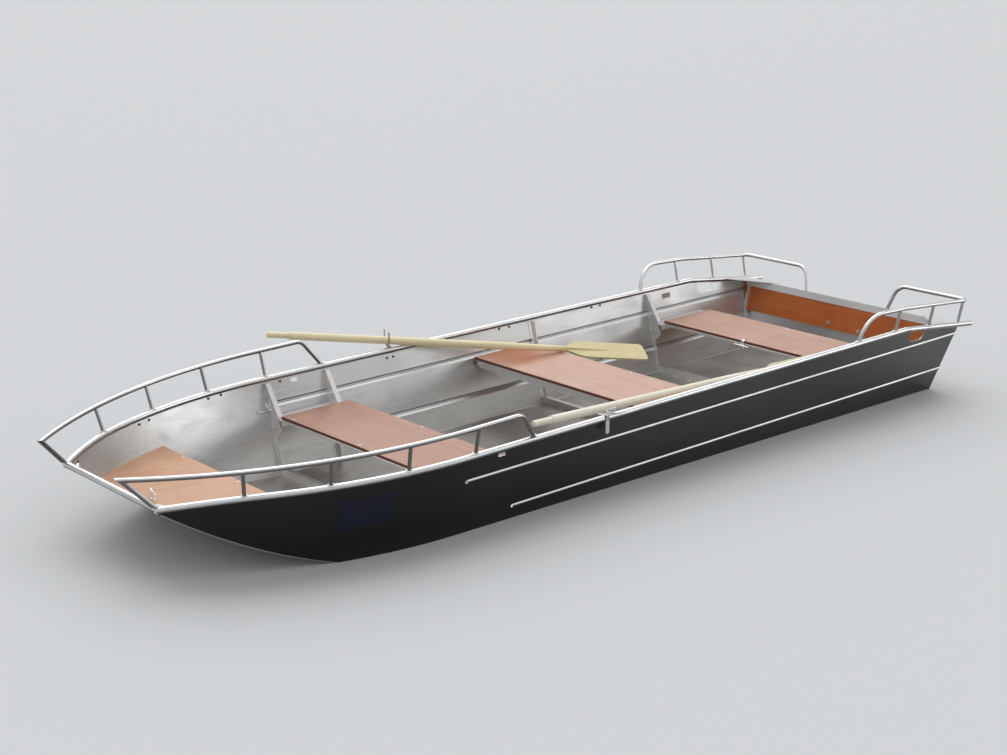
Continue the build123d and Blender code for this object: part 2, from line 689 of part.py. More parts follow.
seat_cleat = Pos(cleat_face, SEAT_CLEAT_Y, cleat_centre_z) * (Rot(90, 0, 0) * (Rot(0, 90, 0) * cleat))

# Hand rails: bent round bar on short stanchions, each foot coped to the gunwale tube


def gunwale_stub(station):
    """Straight bar that stands for the gunwale tube near a station, to cope a foot with."""
    centre = gunwale_point(station)
    along_tube = (gunwale_point(station + 1) - gunwale_point(station - 1)).normalized() * CUT_SPARE
    return bar(centre - along_tube, centre + along_tube, GUNWALE_DIAMETER + 2 * COPE_GAP)


def stanchion(station, top):
    """Upright from the gunwale tube to a point on the rail."""
    return bar(gunwale_point(station), top, STANCHION_DIAMETER) - gunwale_stub(station)


bow_rail_plane = Plane(
    origin=(BOW_START, HALF_BEAM + BOW_RAIL_OUTBOARD, SHEER + BOW_RAIL_HEIGHT),
    x_dir=(cos(radians(BOW_RAIL_FALL)), 0, -sin(radians(BOW_RAIL_FALL))),
    z_dir=(sin(radians(BOW_RAIL_FALL)), 0, cos(radians(BOW_RAIL_FALL))),
)
bow_rail_radius = BOW_RADIUS + BOW_RAIL_OUTBOARD


def bow_rail_point(station):
    """Point on the bow rail's centre line round the bow's arc or aft of it."""
    forward = station - BOW_START
    if forward < 0:
        return bow_rail_plane.from_local_coords(Vector(forward, 0, 0))
    return bow_rail_plane.from_local_coords(
        Vector(forward, sqrt(bow_rail_radius ** 2 - forward ** 2) - bow_rail_radius, 0)
    )


bow_rail_foot = HULL_LENGTH - BOW_RAIL_FOOT_TO_BOW
bend_at = bow_rail_point(BOW_START - BOW_RAIL_BEND_AFT)
aft_leg = FilletPolyline(gunwale_point(bow_rail_foot), bend_at, bow_rail_point(BOW_START), radius=BOW_RAIL_BEND)
arc_end = bow_rail_point(HULL_LENGTH + BOW_RAIL_REACH - TRIM_SPARE)
top_arc = ThreePointArc(
    bow_rail_point(BOW_START), bow_rail_point(BOW_START + BOW_TURN_LENGTH / 2), arc_end
)
rail_tip = arc_end + (top_arc % 1) * TRIM_SPARE
top_end = Line(arc_end, rail_tip + (top_arc % 1) * TRIM_SPARE)
strut_way = (corner - rail_tip).normalized()
rail_mitre = Plane(rail_tip, z_dir=(top_arc % 1) + strut_way)
rail_top = rod(Wire([*aft_leg.edges(), top_arc, top_end]), RAIL_DIAMETER)
strut = bar(rail_tip - strut_way * TRIM_SPARE, corner, RAIL_DIAMETER)
bow_rail = split(rail_top, bisect_by=rail_mitre, keep=Keep.BOTTOM) - gunwale_stub(bow_rail_foot)
bow_rail += split(strut, bisect_by=rail_mitre, keep=Keep.TOP)
crown = corner.Z + TUBE_RADIUS + STRUT_GAP
below_crown = (SHEER - HULL_DEPTH, crown)
bow_rail -= block((HULL_LENGTH - CUT_SPARE / 2, 2 * HULL_LENGTH), (0, WIDE), below_crown)

for foot_to_bow, top_to_bow in BOW_STANCHIONS:
    bow_rail += stanchion(HULL_LENGTH - foot_to_bow, bow_rail_point(HULL_LENGTH - top_to_bow))


def stern_rail_point(station, height):
    """Point beside the stern gunwale, outboard of it and so high above the sheer."""
    beside = gunwale_point(station, STERN_RAIL_OUTBOARD)
    return Vector(beside.X, beside.Y, SHEER + height)


stern_corner = stern_rail_point(-STERN_RAIL_AFT, STERN_RAIL_AFT_HEIGHT)
inner_bend = Vector(stern_corner.X, STERN_RAIL_INNER_Y, stern_corner.Z)
cap_foot = transom_plane.from_local_coords(Vector(STERN_RAIL_FOOT_Y, CAP_SHEET, front_of_board / 2))
stern_path = FilletPolyline(
    gunwale_point(STERN_RAIL_FOOT),
    stern_rail_point(STERN_RAIL_TOP, STERN_RAIL_TOP_HEIGHT),
    stern_rail_point(STERN_RAIL_CREST, STERN_RAIL_CREST_HEIGHT),
    stern_corner,
    inner_bend,
    cap_foot + (cap_foot - inner_bend).normalized() * TRIM_SPARE,
    radius=STERN_RAIL_BENDS,
)
stern_rail = rod(stern_path, RAIL_DIAMETER) - gunwale_stub(STERN_RAIL_FOOT)
stern_rail -= on_transom(CUT_SPARE, HULL_DEPTH, CUT_SPARE, STERN_RAIL_FOOT_Y, CAP_SHEET + COPE_GAP, -CUT_SPARE / 2)

# The stern rail's stanchions, each up to the straight that it meets
top_bend = stern_rail_point(STERN_RAIL_TOP, STERN_RAIL_TOP_HEIGHT)
crest = stern_rail_point(STERN_RAIL_CREST, STERN_RAIL_CREST_HEIGHT)
for station in STERN_STANCHIONS:
    low, high = (stern_corner, crest) if station < STERN_RAIL_CREST else (crest, top_bend)
    share = (station - low.X) / (high.X - low.X)
    stern_rail += stanchion(station, low + (high - low) * share)

# Rowlock: socket let into the gunwale, a shank that turns in it, and a fork that folds on the shank
rowlock_y = HALF_BEAM + SOCKET_OUTBOARD
socket_top = SHEER - SOCKET_TOP_DROP
socket_low = socket_top - SOCKET_LENGTH
pin_z = SHEER + FOLD_PIN_RISE
bore = SHANK_DIAMETER + 2 * SHANK_CLEARANCE
shoulder_z = socket_top + SHOULDER_GAP
tab_foot = shoulder_z + SHOULDER_THICKNESS


def upright(diameter, low, high):
    """Upright round bar on the rowlock's axis."""
    return Pos(0, 0, (low + high) / 2) * Cylinder(diameter / 2, high - low)


def across(diameter, length):
    """Round bar across the boat through the origin."""
    return Rot(90, 0, 0) * Cylinder(diameter / 2, length)


at_axis = Pos(ROWLOCK_STATION, rowlock_y, 0)
socket = at_axis * (upright(SOCKET_DIAMETER, socket_low, socket_top) - upright(bore, socket_low, socket_top))
gunwale -= at_axis * upright(SOCKET_DIAMETER, socket_low, socket_top)
gunwale -= at_axis * upright(SOCKET_DIAMETER + 2 * NOTCH_CLEARANCE, socket_top, pin_z + GUNWALE_DIAMETER)

shank = upright(SHANK_DIAMETER, socket_low - SHANK_TAIL, shoulder_z)
shank += upright(SHOULDER_DIAMETER, shoulder_z, tab_foot)
tab = block((-EAR_RADIUS, EAR_RADIUS), (-TAB_THICKNESS / 2, TAB_THICKNESS / 2), (tab_foot, pin_z))
tab += Pos(0, 0, pin_z) * across(2 * EAR_RADIUS, TAB_THICKNESS)
shank += tab - Pos(0, 0, pin_z) * across(FOLD_PIN_DIAMETER + 2 * SHANK_CLEARANCE, TAB_THICKNESS)

# The fork upright, about its fold pin: a bent bar forward of the pin, on two ears
fork_radius = (FORK_OPENING + FORK_BAR) / 2
fork_top = FORK_ABOVE_PIN + FORK_HEIGHT
arm_foot = FORK_ABOVE_PIN + fork_radius
fork_path = Wire([
    Line((FORK_FORWARD, fork_radius, fork_top), (FORK_FORWARD, fork_radius, arm_foot)),
    ThreePointArc(
        (FORK_FORWARD, fork_radius, arm_foot),
        (FORK_FORWARD, 0, FORK_ABOVE_PIN),
        (FORK_FORWARD, -fork_radius, arm_foot),
    ),
    Line((FORK_FORWARD, -fork_radius, arm_foot), (FORK_FORWARD, -fork_radius, fork_top)),
])
fork_bar = rod(fork_path, FORK_BAR)
tips = fork_bar.edges().group_by(Axis.Z)[-1]
fork_bar = fillet(tips, radius=FORK_TIP_ROUND)
reach = sqrt(FORK_FORWARD ** 2 + FORK_ABOVE_PIN ** 2)
ear_outline = make_face(
    Polyline((0, EAR_RADIUS), (reach, FORK_BAR / 2), (reach, -FORK_BAR / 2), (0, -EAR_RADIUS), close=True).edges()
)
ear_face = Circle(EAR_RADIUS) + ear_outline
ear_turn = degrees(asin(FORK_ABOVE_PIN / reach))
ear = extrude(Plane.XZ * (Rot(0, 0, ear_turn) * ear_face), amount=EAR_THICKNESS)
ear_inner = TAB_THICKNESS / 2 + TAB_CLEARANCE
fork = fork_bar + Pos(0, -ear_inner, 0) * ear + Pos(0, ear_inner + EAR_THICKNESS, 0) * ear
fork += across(FOLD_PIN_DIAMETER, 2 * (ear_inner + EAR_THICKNESS + PIN_HEAD))

# Port fork folded aft, starboard fork upright and square to the oar that lies in it
seat_edge = centre_span[0]
oar_turn = degrees(atan2(rowlock_y + STARBOARD_OAR_SEAT_Y, ROWLOCK_STATION - seat_edge))
at_pin = Pos(ROWLOCK_STATION, rowlock_y, pin_z)
port_fork = at_pin * (Rot(0, -90, 0) * fork)
port_shank = at_axis * shank
starboard_turn = Pos(ROWLOCK_STATION, -rowlock_y, 0) * Rot(0, 0, -oar_turn)
starboard_fork = starboard_turn * (Pos(0, 0, pin_z) * fork)
starboard_shank = starboard_turn * shank

# Oar along X from the end of its grip to the tip of its blade, flat side up
blade_start = OAR_LENGTH - BLADE_LENGTH
shaft_outline = Polyline(
    (0, 0), (0, GRIP_DIAMETER / 2), (GRIP_LENGTH, GRIP_DIAMETER / 2), (GRIP_LENGTH, OAR_SHAFT / 2),
    (blade_start - OAR_TAPER, OAR_SHAFT / 2), (blade_start, OAR_NECK / 2),
    (blade_start + BLADE_THROAT, OAR_NECK / 2),
    (blade_start + BLADE_THROAT + SPINE_LENGTH, BLADE_THICKNESS / 2),
    (blade_start + BLADE_THROAT + SPINE_LENGTH, 0), close=True,
)
oar_shaft = revolve(make_face(shaft_outline.edges()), axis=Axis.X)
grip_edges = [edge for edge in oar_shaft.edges().filter_by(GeomType.CIRCLE) if abs(edge.center().X) < 1]
oar_shaft = fillet(grip_edges, radius=GRIP_ROUND)
shoulder_end = blade_start + BLADE_SHOULDER
half_blade = BLADE_WIDTH / 2
throat_half = BLADE_THICKNESS / 2
throat_middle = ((blade_start + shoulder_end) / 2, (throat_half + half_blade) / 2)
tip_start = OAR_LENGTH - BLADE_CORNER
corner_arc = BLADE_CORNER * (1 - cos(radians(45)))
blade_side = [
    TangentArc((blade_start, throat_half), throat_middle, tangent=(1, 0)),
]
blade_side.append(TangentArc(throat_middle, (shoulder_end, half_blade), tangent=blade_side[0] % 1))
blade_side += [
    Line((shoulder_end, half_blade), (tip_start, half_blade)),
    ThreePointArc(
        (tip_start, half_blade), (OAR_LENGTH - corner_arc, half_blade - corner_arc),
        (OAR_LENGTH, half_blade - BLADE_CORNER),
    ),
    Line((OAR_LENGTH, half_blade - BLADE_CORNER), (OAR_LENGTH, 0)),
    Line((OAR_LENGTH, 0), (blade_start, 0)),
    Line((blade_start, 0), (blade_start, throat_half)),
]
half_outline = make_face(blade_side)
blade = extrude(half_outline + mirror(half_outline, about=Plane.XZ), amount=BLADE_THICKNESS / 2, both=True)
oar = oar_shaft + blade


def laid_oar(grip_end, tip_way, turn):
    """The oar with its grip's end at a point, pointing along a direction, turned about its axis."""
    level = Vector(-tip_way.Y, tip_way.X, 0).normalized()
    return Plane(grip_end, x_dir=tip_way, z_dir=tip_way.cross(level)) * (Rot(turn, 0, 0) * oar)


def rise_for(radius, slope):
    """Height of an oar's axis over an edge that a round of this radius rests on."""
    return (radius + REST_GAP) * sqrt(1 + slope ** 2)


# Port oar: on the centre seat's aft edge and, by its tip, on the rear seat
port_run = seat_edge - rear_seat_fore + PORT_OAR_TIP_ON_SEAT
port_slope = (CENTRE_SEAT_TOP + OAR_SHAFT / 2 - SEAT_TOP - BLADE_THICKNESS / 2) / port_run
port_rest = Vector(seat_edge, PORT_OAR_SEAT_Y, CENTRE_SEAT_TOP + rise_for(OAR_SHAFT / 2, port_slope))
port_way = Vector(-port_run, -PORT_OAR_DRIFT, -port_slope * port_run).normalized()
port_tip = port_rest - port_way * (port_run / port_way.X)
oar_port = laid_oar(port_tip - port_way * OAR_LENGTH, port_way, 0)

# Starboard oar: in the upright fork and on the centre seat's aft edge
fork_bottom = Vector(
    ROWLOCK_STATION + FORK_FORWARD * cos(radians(oar_turn)),
    -rowlock_y - FORK_FORWARD * sin(radians(oar_turn)),
    pin_z + FORK_ABOVE_PIN,
)
plan_run = (fork_bottom.X - seat_edge) / cos(radians(oar_turn))
fork_rise = (OAR_SHAFT + FORK_BAR) / 2
steep = (fork_bottom.Z + fork_rise - CENTRE_SEAT_TOP - OAR_NECK / 2) / plan_run
in_fork = fork_bottom + Vector(0, 0, rise_for(fork_rise, steep))
edge_slope = steep / cos(radians(oar_turn))
on_seat = Vector(
    seat_edge, STARBOARD_OAR_SEAT_Y, CENTRE_SEAT_TOP + rise_for(OAR_NECK / 2, edge_slope)
)
starboard_way = (on_seat - in_fork).normalized()
oar_starboard = laid_oar(in_fork - starboard_way * STARBOARD_OAR_GRIP, starboard_way, STARBOARD_BLADE_TURN)

# Every node
os.makedirs("parts", exist_ok=True)
save("bottom_plate", bottom)
save_pair("side_plate", side)
save("transom_plate", transom)
save("bow_plate", bow_plate)
save_pair("gunwale", gunwale)
save("bow_tube", bow_tube)
save("bow_gussets", bow_gusset, mirrored(bow_gusset))
save_pair("stern_corner_plate", corner_plate)
save("transom_cap", cap)
save("transom_board", board)
save_pair("transom_post", post)
save("keel_runner_centre", runner)
save_pair("keel_runner", Pos(0, RUNNER_SPACING, 0) * runner)
for name, shape in knees.items():
    save_pair(name, shape)
for name, station in (("floor_rib_aft", AFT_FRAME), ("floor_rib_mid", MID_FRAME), ("floor_rib_fore", FORE_FRAME)):
    save(name, floor_rib(station))
save_pair("wall_rib", wall_rib)
for name, span, half, top, height, channel, ledge_span in SEATS:
    save(name, board_seat(span, half, top))
    seat_ledge = ledge(ledge_span, half, top)
    for shape in knees.values():
        seat_ledge -= shape
    save_pair(f"{name}_ledge", seat_ledge)
    save(f"{name}_beam_fore", beam(span[1], -1, half, top, height, channel))
    save(f"{name}_beam_aft", beam(span[0], 1, half, top, height, channel))
save("bow_deck", deck)
save("bow_deck_beam", deck_beam)
save("bow_cleat", bow_cleat)
save("seat_cleat", seat_cleat)
save_pair("bow_rail", bow_rail)
save_pair("stern_rail", stern_rail)
save_pair("rowlock_socket", socket)
save("rowlock_shank_port", port_shank)
save("rowlock_shank_starboard", starboard_shank)
save("rowlock_fork_port", port_fork)
save("rowlock_fork_starboard", starboard_fork)
save("oar_port", oar_port)
save("oar_starboard", oar_starboard)
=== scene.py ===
# %% [markdown]
# This scene dresses an open aluminium rowing boat. The metal parts, boards and oars come from the
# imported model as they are. The scene gives them their finishes and adds what is too small for the
# model: weld beads, screws, bolts, studs, seat lips, two bare panels, and a cast cleat in place of
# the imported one. Everything is in metres, +X to the bow, +Y to port, +Z up, with z = 0 under the
# runners.

from math import cos, radians, sin, tan

import bpy
import numpy as np
from mathutils import Matrix, Vector


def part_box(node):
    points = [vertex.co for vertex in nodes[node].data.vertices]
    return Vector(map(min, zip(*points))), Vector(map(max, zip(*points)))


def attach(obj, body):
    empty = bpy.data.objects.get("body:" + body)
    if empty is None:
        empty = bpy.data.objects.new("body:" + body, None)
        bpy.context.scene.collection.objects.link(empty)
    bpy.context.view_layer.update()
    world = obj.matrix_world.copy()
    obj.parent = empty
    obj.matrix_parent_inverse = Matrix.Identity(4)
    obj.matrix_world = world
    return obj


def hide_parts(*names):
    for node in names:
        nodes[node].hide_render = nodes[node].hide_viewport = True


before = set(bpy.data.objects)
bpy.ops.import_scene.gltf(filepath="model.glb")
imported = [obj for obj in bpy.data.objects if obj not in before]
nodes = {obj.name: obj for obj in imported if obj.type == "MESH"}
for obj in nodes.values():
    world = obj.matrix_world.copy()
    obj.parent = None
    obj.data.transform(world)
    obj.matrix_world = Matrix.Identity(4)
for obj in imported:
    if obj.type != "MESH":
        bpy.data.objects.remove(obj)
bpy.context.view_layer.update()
print("nodes", len(nodes))

# %% [markdown]
# The hull's sides lean outward by one angle all round. The small pieces below sit on those sides,
# so the script works out the same wall from the same few sizes: half the beam at the sheer, the
# height of the sheer, the lean, and the arc that the bow turns on. The first is set against the
# packed gunwale, and the print shows both.

# %% Hull sizes
SHEER_Z = 0.500
HALF_BEAM = 0.806
FLARE = radians(14.5)
SHEET = 0.003
BOW_START_X = 1.2255
BOW_RADIUS = 2.190
HULL_HALF = 2.5125
TUBE_RADIUS = 0.015


def wall_breadth(x, z, inset=0.0):
    """Half breadth of the side at x and z: constant aft, then a circle's ordinate round the bow."""
    radius = BOW_RADIUS - (SHEER_Z - z) * tan(FLARE) - inset / cos(FLARE)
    forward = np.maximum(np.asarray(x, float) - BOW_START_X, 0)
    return HALF_BEAM - BOW_RADIUS + np.sqrt(radius ** 2 - forward ** 2)


def wall_spot(x, z, side, inset=0.0):
    """Point on a side's sheet and the unit normal there that points outboard. side is 1 to port."""
    y = wall_breadth(x, z, inset)
    ahead = max(x - BOW_START_X, 0)
    turn = ahead / (y - HALF_BEAM + BOW_RADIUS)
    out = np.array([turn, 1.0, -tan(FLARE) * np.sqrt(1 + turn ** 2)])
    out /= np.linalg.norm(out)
    return np.array([x, side * y, z]), out * [1, side, 1]


gunwale_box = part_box("gunwale_port")
print("gunwale's outside", round(gunwale_box[1].y, 4), "worked out", HALF_BEAM + TUBE_RADIUS)

# %% [markdown]
# Small pieces come by the hundred, so they are worked out as arrays. A ring of points is carried
# along a path to make a bar, a screw head or a weld bead, and neighbours on the grid are joined by
# quads. One function makes the quads, one closes the ends and turns every face outward by the sign
# of the shape's volume, and one puts many such shapes into one mesh. Screw heads and washers start
# a little under the face that they sit on, so no gap shows.

# %% Mesh helpers


def grid_quads(rows, columns):
    """Quads of a grid of points that is closed round its columns and open along its rows."""
    r, c = np.meshgrid(np.arange(rows - 1), np.arange(columns), indexing="ij")
    here, ahead, right = r * columns, (r + 1) * columns, (c + 1) % columns
    corners = [here + c, here + right, ahead + right, ahead + c]
    return np.stack(corners, axis=-1).reshape(-1, 4)


def closed_shape(rings):
    """Rings of points (rows, columns, 3) as vertices and faces, with a flat cap at both ends.

    A sixth of the sum, over the quads, of a corner dotted with the cross product of the diagonals
    is the signed volume. If it is negative, every face is turned over."""
    rows, columns = rings.shape[:2]
    points = rings.reshape(-1, 3)
    quads = grid_quads(rows, columns)
    a, b, c, d = (points[quads[:, i]] - points.mean(axis=0) for i in range(4))
    inward = np.sum(a * np.cross(c - a, d - b)) < 0
    faces = (quads[:, ::-1] if inward else quads).tolist()
    first = list(range(columns))
    last = list(range((rows - 1) * columns, rows * columns))
    faces += [first[::-1] if not inward else first, last if not inward else last[::-1]]
    return points, faces


def new_object(name, points, faces, material, smooth=False):
    """Mesh object at the origin from an array of points and a list of faces."""
    mesh = bpy.data.meshes.new(name)
    mesh.from_pydata(points.reshape(-1, 3).tolist(), [], faces)
    mesh.polygons.foreach_set("use_smooth", [smooth] * len(mesh.polygons))
    mesh.materials.append(material)
    piece = bpy.data.objects.new(name, mesh)
    bpy.context.scene.collection.objects.link(piece)
    print(name, "faces", len(faces))
    return piece


def joined(name, shapes, material, smooth=True):
    """One mesh object from many closed shapes, which rides on the hull."""
    points = np.concatenate([shape[0] for shape in shapes])
    starts = np.cumsum([0] + [len(shape[0]) for shape in shapes])
    faces = [[start + i for i in face] for start, shape in zip(starts, shapes) for face in shape[1]]
    piece = new_object(name, points, faces, material, smooth)
    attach(piece, "hull")
    return piece


def across_axes(axis):
    """Two unit vectors at right angles to an axis and to each other."""
    axis = np.asarray(axis, float)
    helper = np.array([0.0, 0.0, 1.0]) if abs(axis[2]) < 0.9 else np.array([1.0, 0.0, 0.0])
    u = np.cross(helper, axis)
    u /= np.linalg.norm(u)
    return u, np.cross(axis, u)


def turned(base, axis, profile, columns=16, flats=0):
    """Profile of (radius, height) pairs turned about an axis from a base point.

    With flats, the radius at an angle is divided by the cosine of the angle to the nearest flat's
    middle, which turns the circle into a regular polygon, as on a hexagon head."""
    axis = np.asarray(axis, float) / np.linalg.norm(axis)
    u, v = across_axes(axis)
    angle = np.arange(columns) * 2 * np.pi / columns
    shape = np.ones(columns)
    if flats:
        step = 2 * np.pi / flats
        shape = 1 / np.cos((angle % step) - step / 2)
    radius, height = np.array(profile, float).T
    ring = np.cos(angle)[:, None] * u + np.sin(angle)[:, None] * v
    rings = radius[:, None, None] * (shape[:, None] * ring)[None] + height[:, None, None] * axis
    return closed_shape(rings + np.asarray(base, float))


SUNK = 0.0004
RIM_SHARE = 0.45
WASHER_THICK = 0.0018


def pan_head(base, axis, radius, height):
    """Round screw head: a short cylinder under a dome that falls as the square of the radius."""
    profile = [(radius, -SUNK), (radius, height * RIM_SHARE)]
    for across in np.linspace(1, 0.12, 6)[1:]:
        dome = RIM_SHARE + (1 - RIM_SHARE) * (1 - across ** 2)
        profile.append((radius * across, height * dome))
    return turned(base, axis, profile)


def hex_bolt(base, axis, flat, height, washer):
    """Hexagon bolt head with a bevelled top on a round washer, as two shapes."""
    axis = np.asarray(axis, float) / np.linalg.norm(axis)
    plate = [(washer, -SUNK), (washer, WASHER_THICK * 0.8), (washer * 0.94, WASHER_THICK)]
    head = [(flat, 0), (flat, height * 0.82), (flat * 0.86, height)]
    top = np.asarray(base) + axis * WASHER_THICK
    return [turned(base, axis, plate, 24), turned(top, axis, head, 24, flats=6)]


# %% [markdown]
# A weld bead on thin sheet looks like a row of coins that lean on each other. It is a half-round
# worm whose thickness swells once for every step of the torch. The worm's centre lies in the
# corner between the two metals, so about half of it is buried.

# %% Weld beads
TORCH_STEP = 0.0045
POINTS_A_STEP = 4
WELD_COLUMNS = 8
WELD_FLAT = 0.75


def weld(path, radius, swell=0.16, step=TORCH_STEP):
    """Round bar along a path whose radius rises and falls by a cosine with each step of the torch.

    The path is resampled at four points a step by its running length. At each point the ring lies
    across the path's direction, flattened a little along the second axis."""
    path = np.asarray(path, float)
    along = np.concatenate([[0], np.cumsum(np.linalg.norm(np.diff(path, axis=0), axis=1))])
    count = max(int(along[-1] / step * POINTS_A_STEP), 6)
    where = np.linspace(0, along[-1], count)
    centre = np.stack([np.interp(where, along, path[:, i]) for i in range(3)], axis=1)
    way = np.gradient(centre, axis=0)
    way /= np.linalg.norm(way, axis=1)[:, None]
    helper = np.tile([0.0, 0.0, 1.0], (count, 1))
    steep = np.abs(way[:, 2]) > 0.9
    helper[steep] = [1.0, 0.0, 0.0]
    u = np.cross(helper, way)
    u /= np.linalg.norm(u, axis=1)[:, None]
    v = np.cross(way, u)
    ripple = 1 + swell * np.cos(where * 2 * np.pi / step)
    taper = np.clip(np.minimum(where, along[-1] - where) / (2 * radius), 0.15, 1) ** 0.5
    size = radius * ripple * taper
    angle = np.arange(WELD_COLUMNS) * 2 * np.pi / WELD_COLUMNS
    ring = np.cos(angle)[None, :, None] * u[:, None]
    ring = ring + WELD_FLAT * np.sin(angle)[None, :, None] * v[:, None]
    return closed_shape(centre[:, None] + size[:, None, None] * ring)


def circle_path(centre, axis, radius, count=25):
    """Points once round a circle about an axis: cosine and sine along two axes across it."""
    u, v = across_axes(np.asarray(axis, float) / np.linalg.norm(axis))
    angle = np.radians(np.linspace(0, 360, count))
    ring = np.cos(angle)[:, None] * u + np.sin(angle)[:, None] * v
    return np.asarray(centre, float) + radius * ring


# %% [markdown]
# Finishes are node materials. A few short helpers make them easy to read: one stretches the
# coordinates along a direction, one gives a noise, one carries a value to another range, and one
# mixes two colours. All patterns read Object coordinates, because every object sits at the origin.
# Most of a noise's values lie in the narrower of the two ranges below, and nearly all in the wider.

# %% Node helpers
NOISE_MIDDLE, NOISE_WIDE = (0.36, 0.64), (0.3, 0.7)


def new_material(name):
    """Empty node material with its principled shader, output and object coordinates."""
    material = bpy.data.materials.new(name)
    material.use_nodes = True
    tree = material.node_tree
    tree.nodes.clear()
    output = tree.nodes.new("ShaderNodeOutputMaterial")
    shader = tree.nodes.new("ShaderNodeBsdfPrincipled")
    tree.links.new(shader.outputs["BSDF"], output.inputs["Surface"])
    where = tree.nodes.new("ShaderNodeTexCoord").outputs["Object"]
    return material, tree, shader, where


def put(tree, target, value):
    """Link a socket, or set its value if value isn't a socket."""
    if isinstance(value, bpy.types.NodeSocket):
        tree.links.new(value, target)
    else:
        target.default_value = value


def mapped(tree, where, scale=(1, 1, 1), centre=(0, 0, 0), turn=(0, 0, 0)):
    """Coordinates about a centre, turned, then stretched, so that a pattern can be long one way."""
    node = tree.nodes.new("ShaderNodeMapping")
    node.vector_type = "TEXTURE"
    node.inputs["Location"].default_value = centre
    node.inputs["Rotation"].default_value = turn
    node.inputs["Scale"].default_value = [1 / s for s in scale]
    tree.links.new(where, node.inputs["Vector"])
    return node.outputs["Vector"]


def noise(tree, where, scale, detail=4.0, roughness=0.55, distortion=0.0):
    """Noise from 0 to 1 at a scale in features a metre."""
    node = tree.nodes.new("ShaderNodeTexNoise")
    node.inputs["Scale"].default_value = scale
    node.inputs["Detail"].default_value = detail
    node.inputs["Roughness"].default_value = roughness
    node.inputs["Distortion"].default_value = distortion
    tree.links.new(where, node.inputs["Vector"])
    return node.outputs["Fac"]


def span(tree, value, low, high, to_low=0.0, to_high=1.0):
    """Value carried from one range to another, held inside it."""
    node = tree.nodes.new("ShaderNodeMapRange")
    node.inputs["From Min"].default_value = low
    node.inputs["From Max"].default_value = high
    node.inputs["To Min"].default_value = to_low
    node.inputs["To Max"].default_value = to_high
    tree.links.new(value, node.inputs["Value"])
    return node.outputs["Result"]


def maths(tree, kind, first, second):
    """One arithmetic step between two values."""
    node = tree.nodes.new("ShaderNodeMath")
    node.operation = kind
    put(tree, node.inputs[0], first)
    put(tree, node.inputs[1], second)
    return node.outputs[0]


def blend_colour(tree, share, first, second):
    """Mix of two colours by a share from 0 to 1."""
    node = tree.nodes.new("ShaderNodeMix")
    node.data_type = "RGBA"
    put(tree, node.inputs["Factor"], share)
    put(tree, node.inputs[6], (*first, 1) if isinstance(first, tuple) else first)
    put(tree, node.inputs[7], (*second, 1) if isinstance(second, tuple) else second)
    return node.outputs[2]


def bump(tree, height, distance, strength=1.0, below=None):
    """Normal bent by a height, in metres of relief."""
    node = tree.nodes.new("ShaderNodeBump")
    node.inputs["Distance"].default_value = distance
    node.inputs["Strength"].default_value = strength
    tree.links.new(height, node.inputs["Height"])
    if below is not None:
        tree.links.new(below, node.inputs["Normal"])
    return node.outputs["Normal"]


def parts_of(tree, vector):
    """The X, Y and Z values of a vector."""
    node = tree.nodes.new("ShaderNodeSeparateXYZ")
    tree.links.new(vector, node.inputs[0])
    return node.outputs


def shaded(colour, factor):
    """Colour made darker or lighter by a factor, held at white."""
    return tuple(min(1.0, factor * part) for part in colour)


def facing(tree):
    """The surface's own normal, which tells a board's face from its edge and a wall's outside."""
    return parts_of(tree, tree.nodes.new("ShaderNodeNewGeometry").outputs["Normal"])


# %% [markdown]
# Mill aluminium sheet is dull and faintly streaky. The mill's rolls leave fine lines along the
# sheet, and years of rain and hands leave wide clouds, a little duller or brighter. The lines are
# a noise stretched many times along the boat. The sheet is not quite flat either, so a broad,
# shallow bump bends each reflection. The outer face leans over, and a normal that points down
# picks it out; it is painted dark as painted shade and painted reflection, most of all towards the
# bow and low down. Below each pressed bead's dark line a pale strip is painted as a painted
# highlight, and the strip's normal is leaned up to the sky. Each bead is given by its height and
# the place where its fore end is.

# %% Sheet metal
# The pale colour below is a painted highlight.
PAINTED_HIGHLIGHT = (0.97, 0.97, 0.96)
BEAD_LINES = ((0.376, 1.2025), (0.170, 0.8875))
STRIP_DEPTH = 0.021
STRIP_TILT = 0.8


def painted_highlight_strips(tree, spot, lean):
    """Share of the painted highlight strips: each lies just below a bead's height, up to the bead's
    fore end.

    The share is a product of three ramps, in height from below and above and in length, and it
    only counts where the normal leans up, which is the inner face."""
    total = 0.0
    for z, end in BEAD_LINES:
        low = span(tree, spot["Z"], z - STRIP_DEPTH, z - STRIP_DEPTH + 0.005)
        high = span(tree, spot["Z"], z - 0.002, z + 0.001, 1, 0)
        fore = span(tree, spot["X"], end - 0.012, end, 1, 0)
        strip = maths(tree, "MULTIPLY", maths(tree, "MULTIPLY", low, high), fore)
        total = maths(tree, "ADD", strip, total)
    return maths(tree, "MULTIPLY", total, span(tree, lean, 0.12, 0.22))


def tilted_up(tree, normal, share):
    """Normal leaned towards the sky: a share of the upright is added, then its length made one."""
    lift = tree.nodes.new("ShaderNodeCombineXYZ")
    put(tree, lift.inputs["Z"], maths(tree, "MULTIPLY", share, STRIP_TILT))
    total = tree.nodes.new("ShaderNodeVectorMath")
    total.operation = "ADD"
    tree.links.new(normal, total.inputs[0])
    tree.links.new(lift.outputs[0], total.inputs[1])
    unit = tree.nodes.new("ShaderNodeVectorMath")
    unit.operation = "NORMALIZE"
    tree.links.new(total.outputs[0], unit.inputs[0])
    return unit.outputs[0]


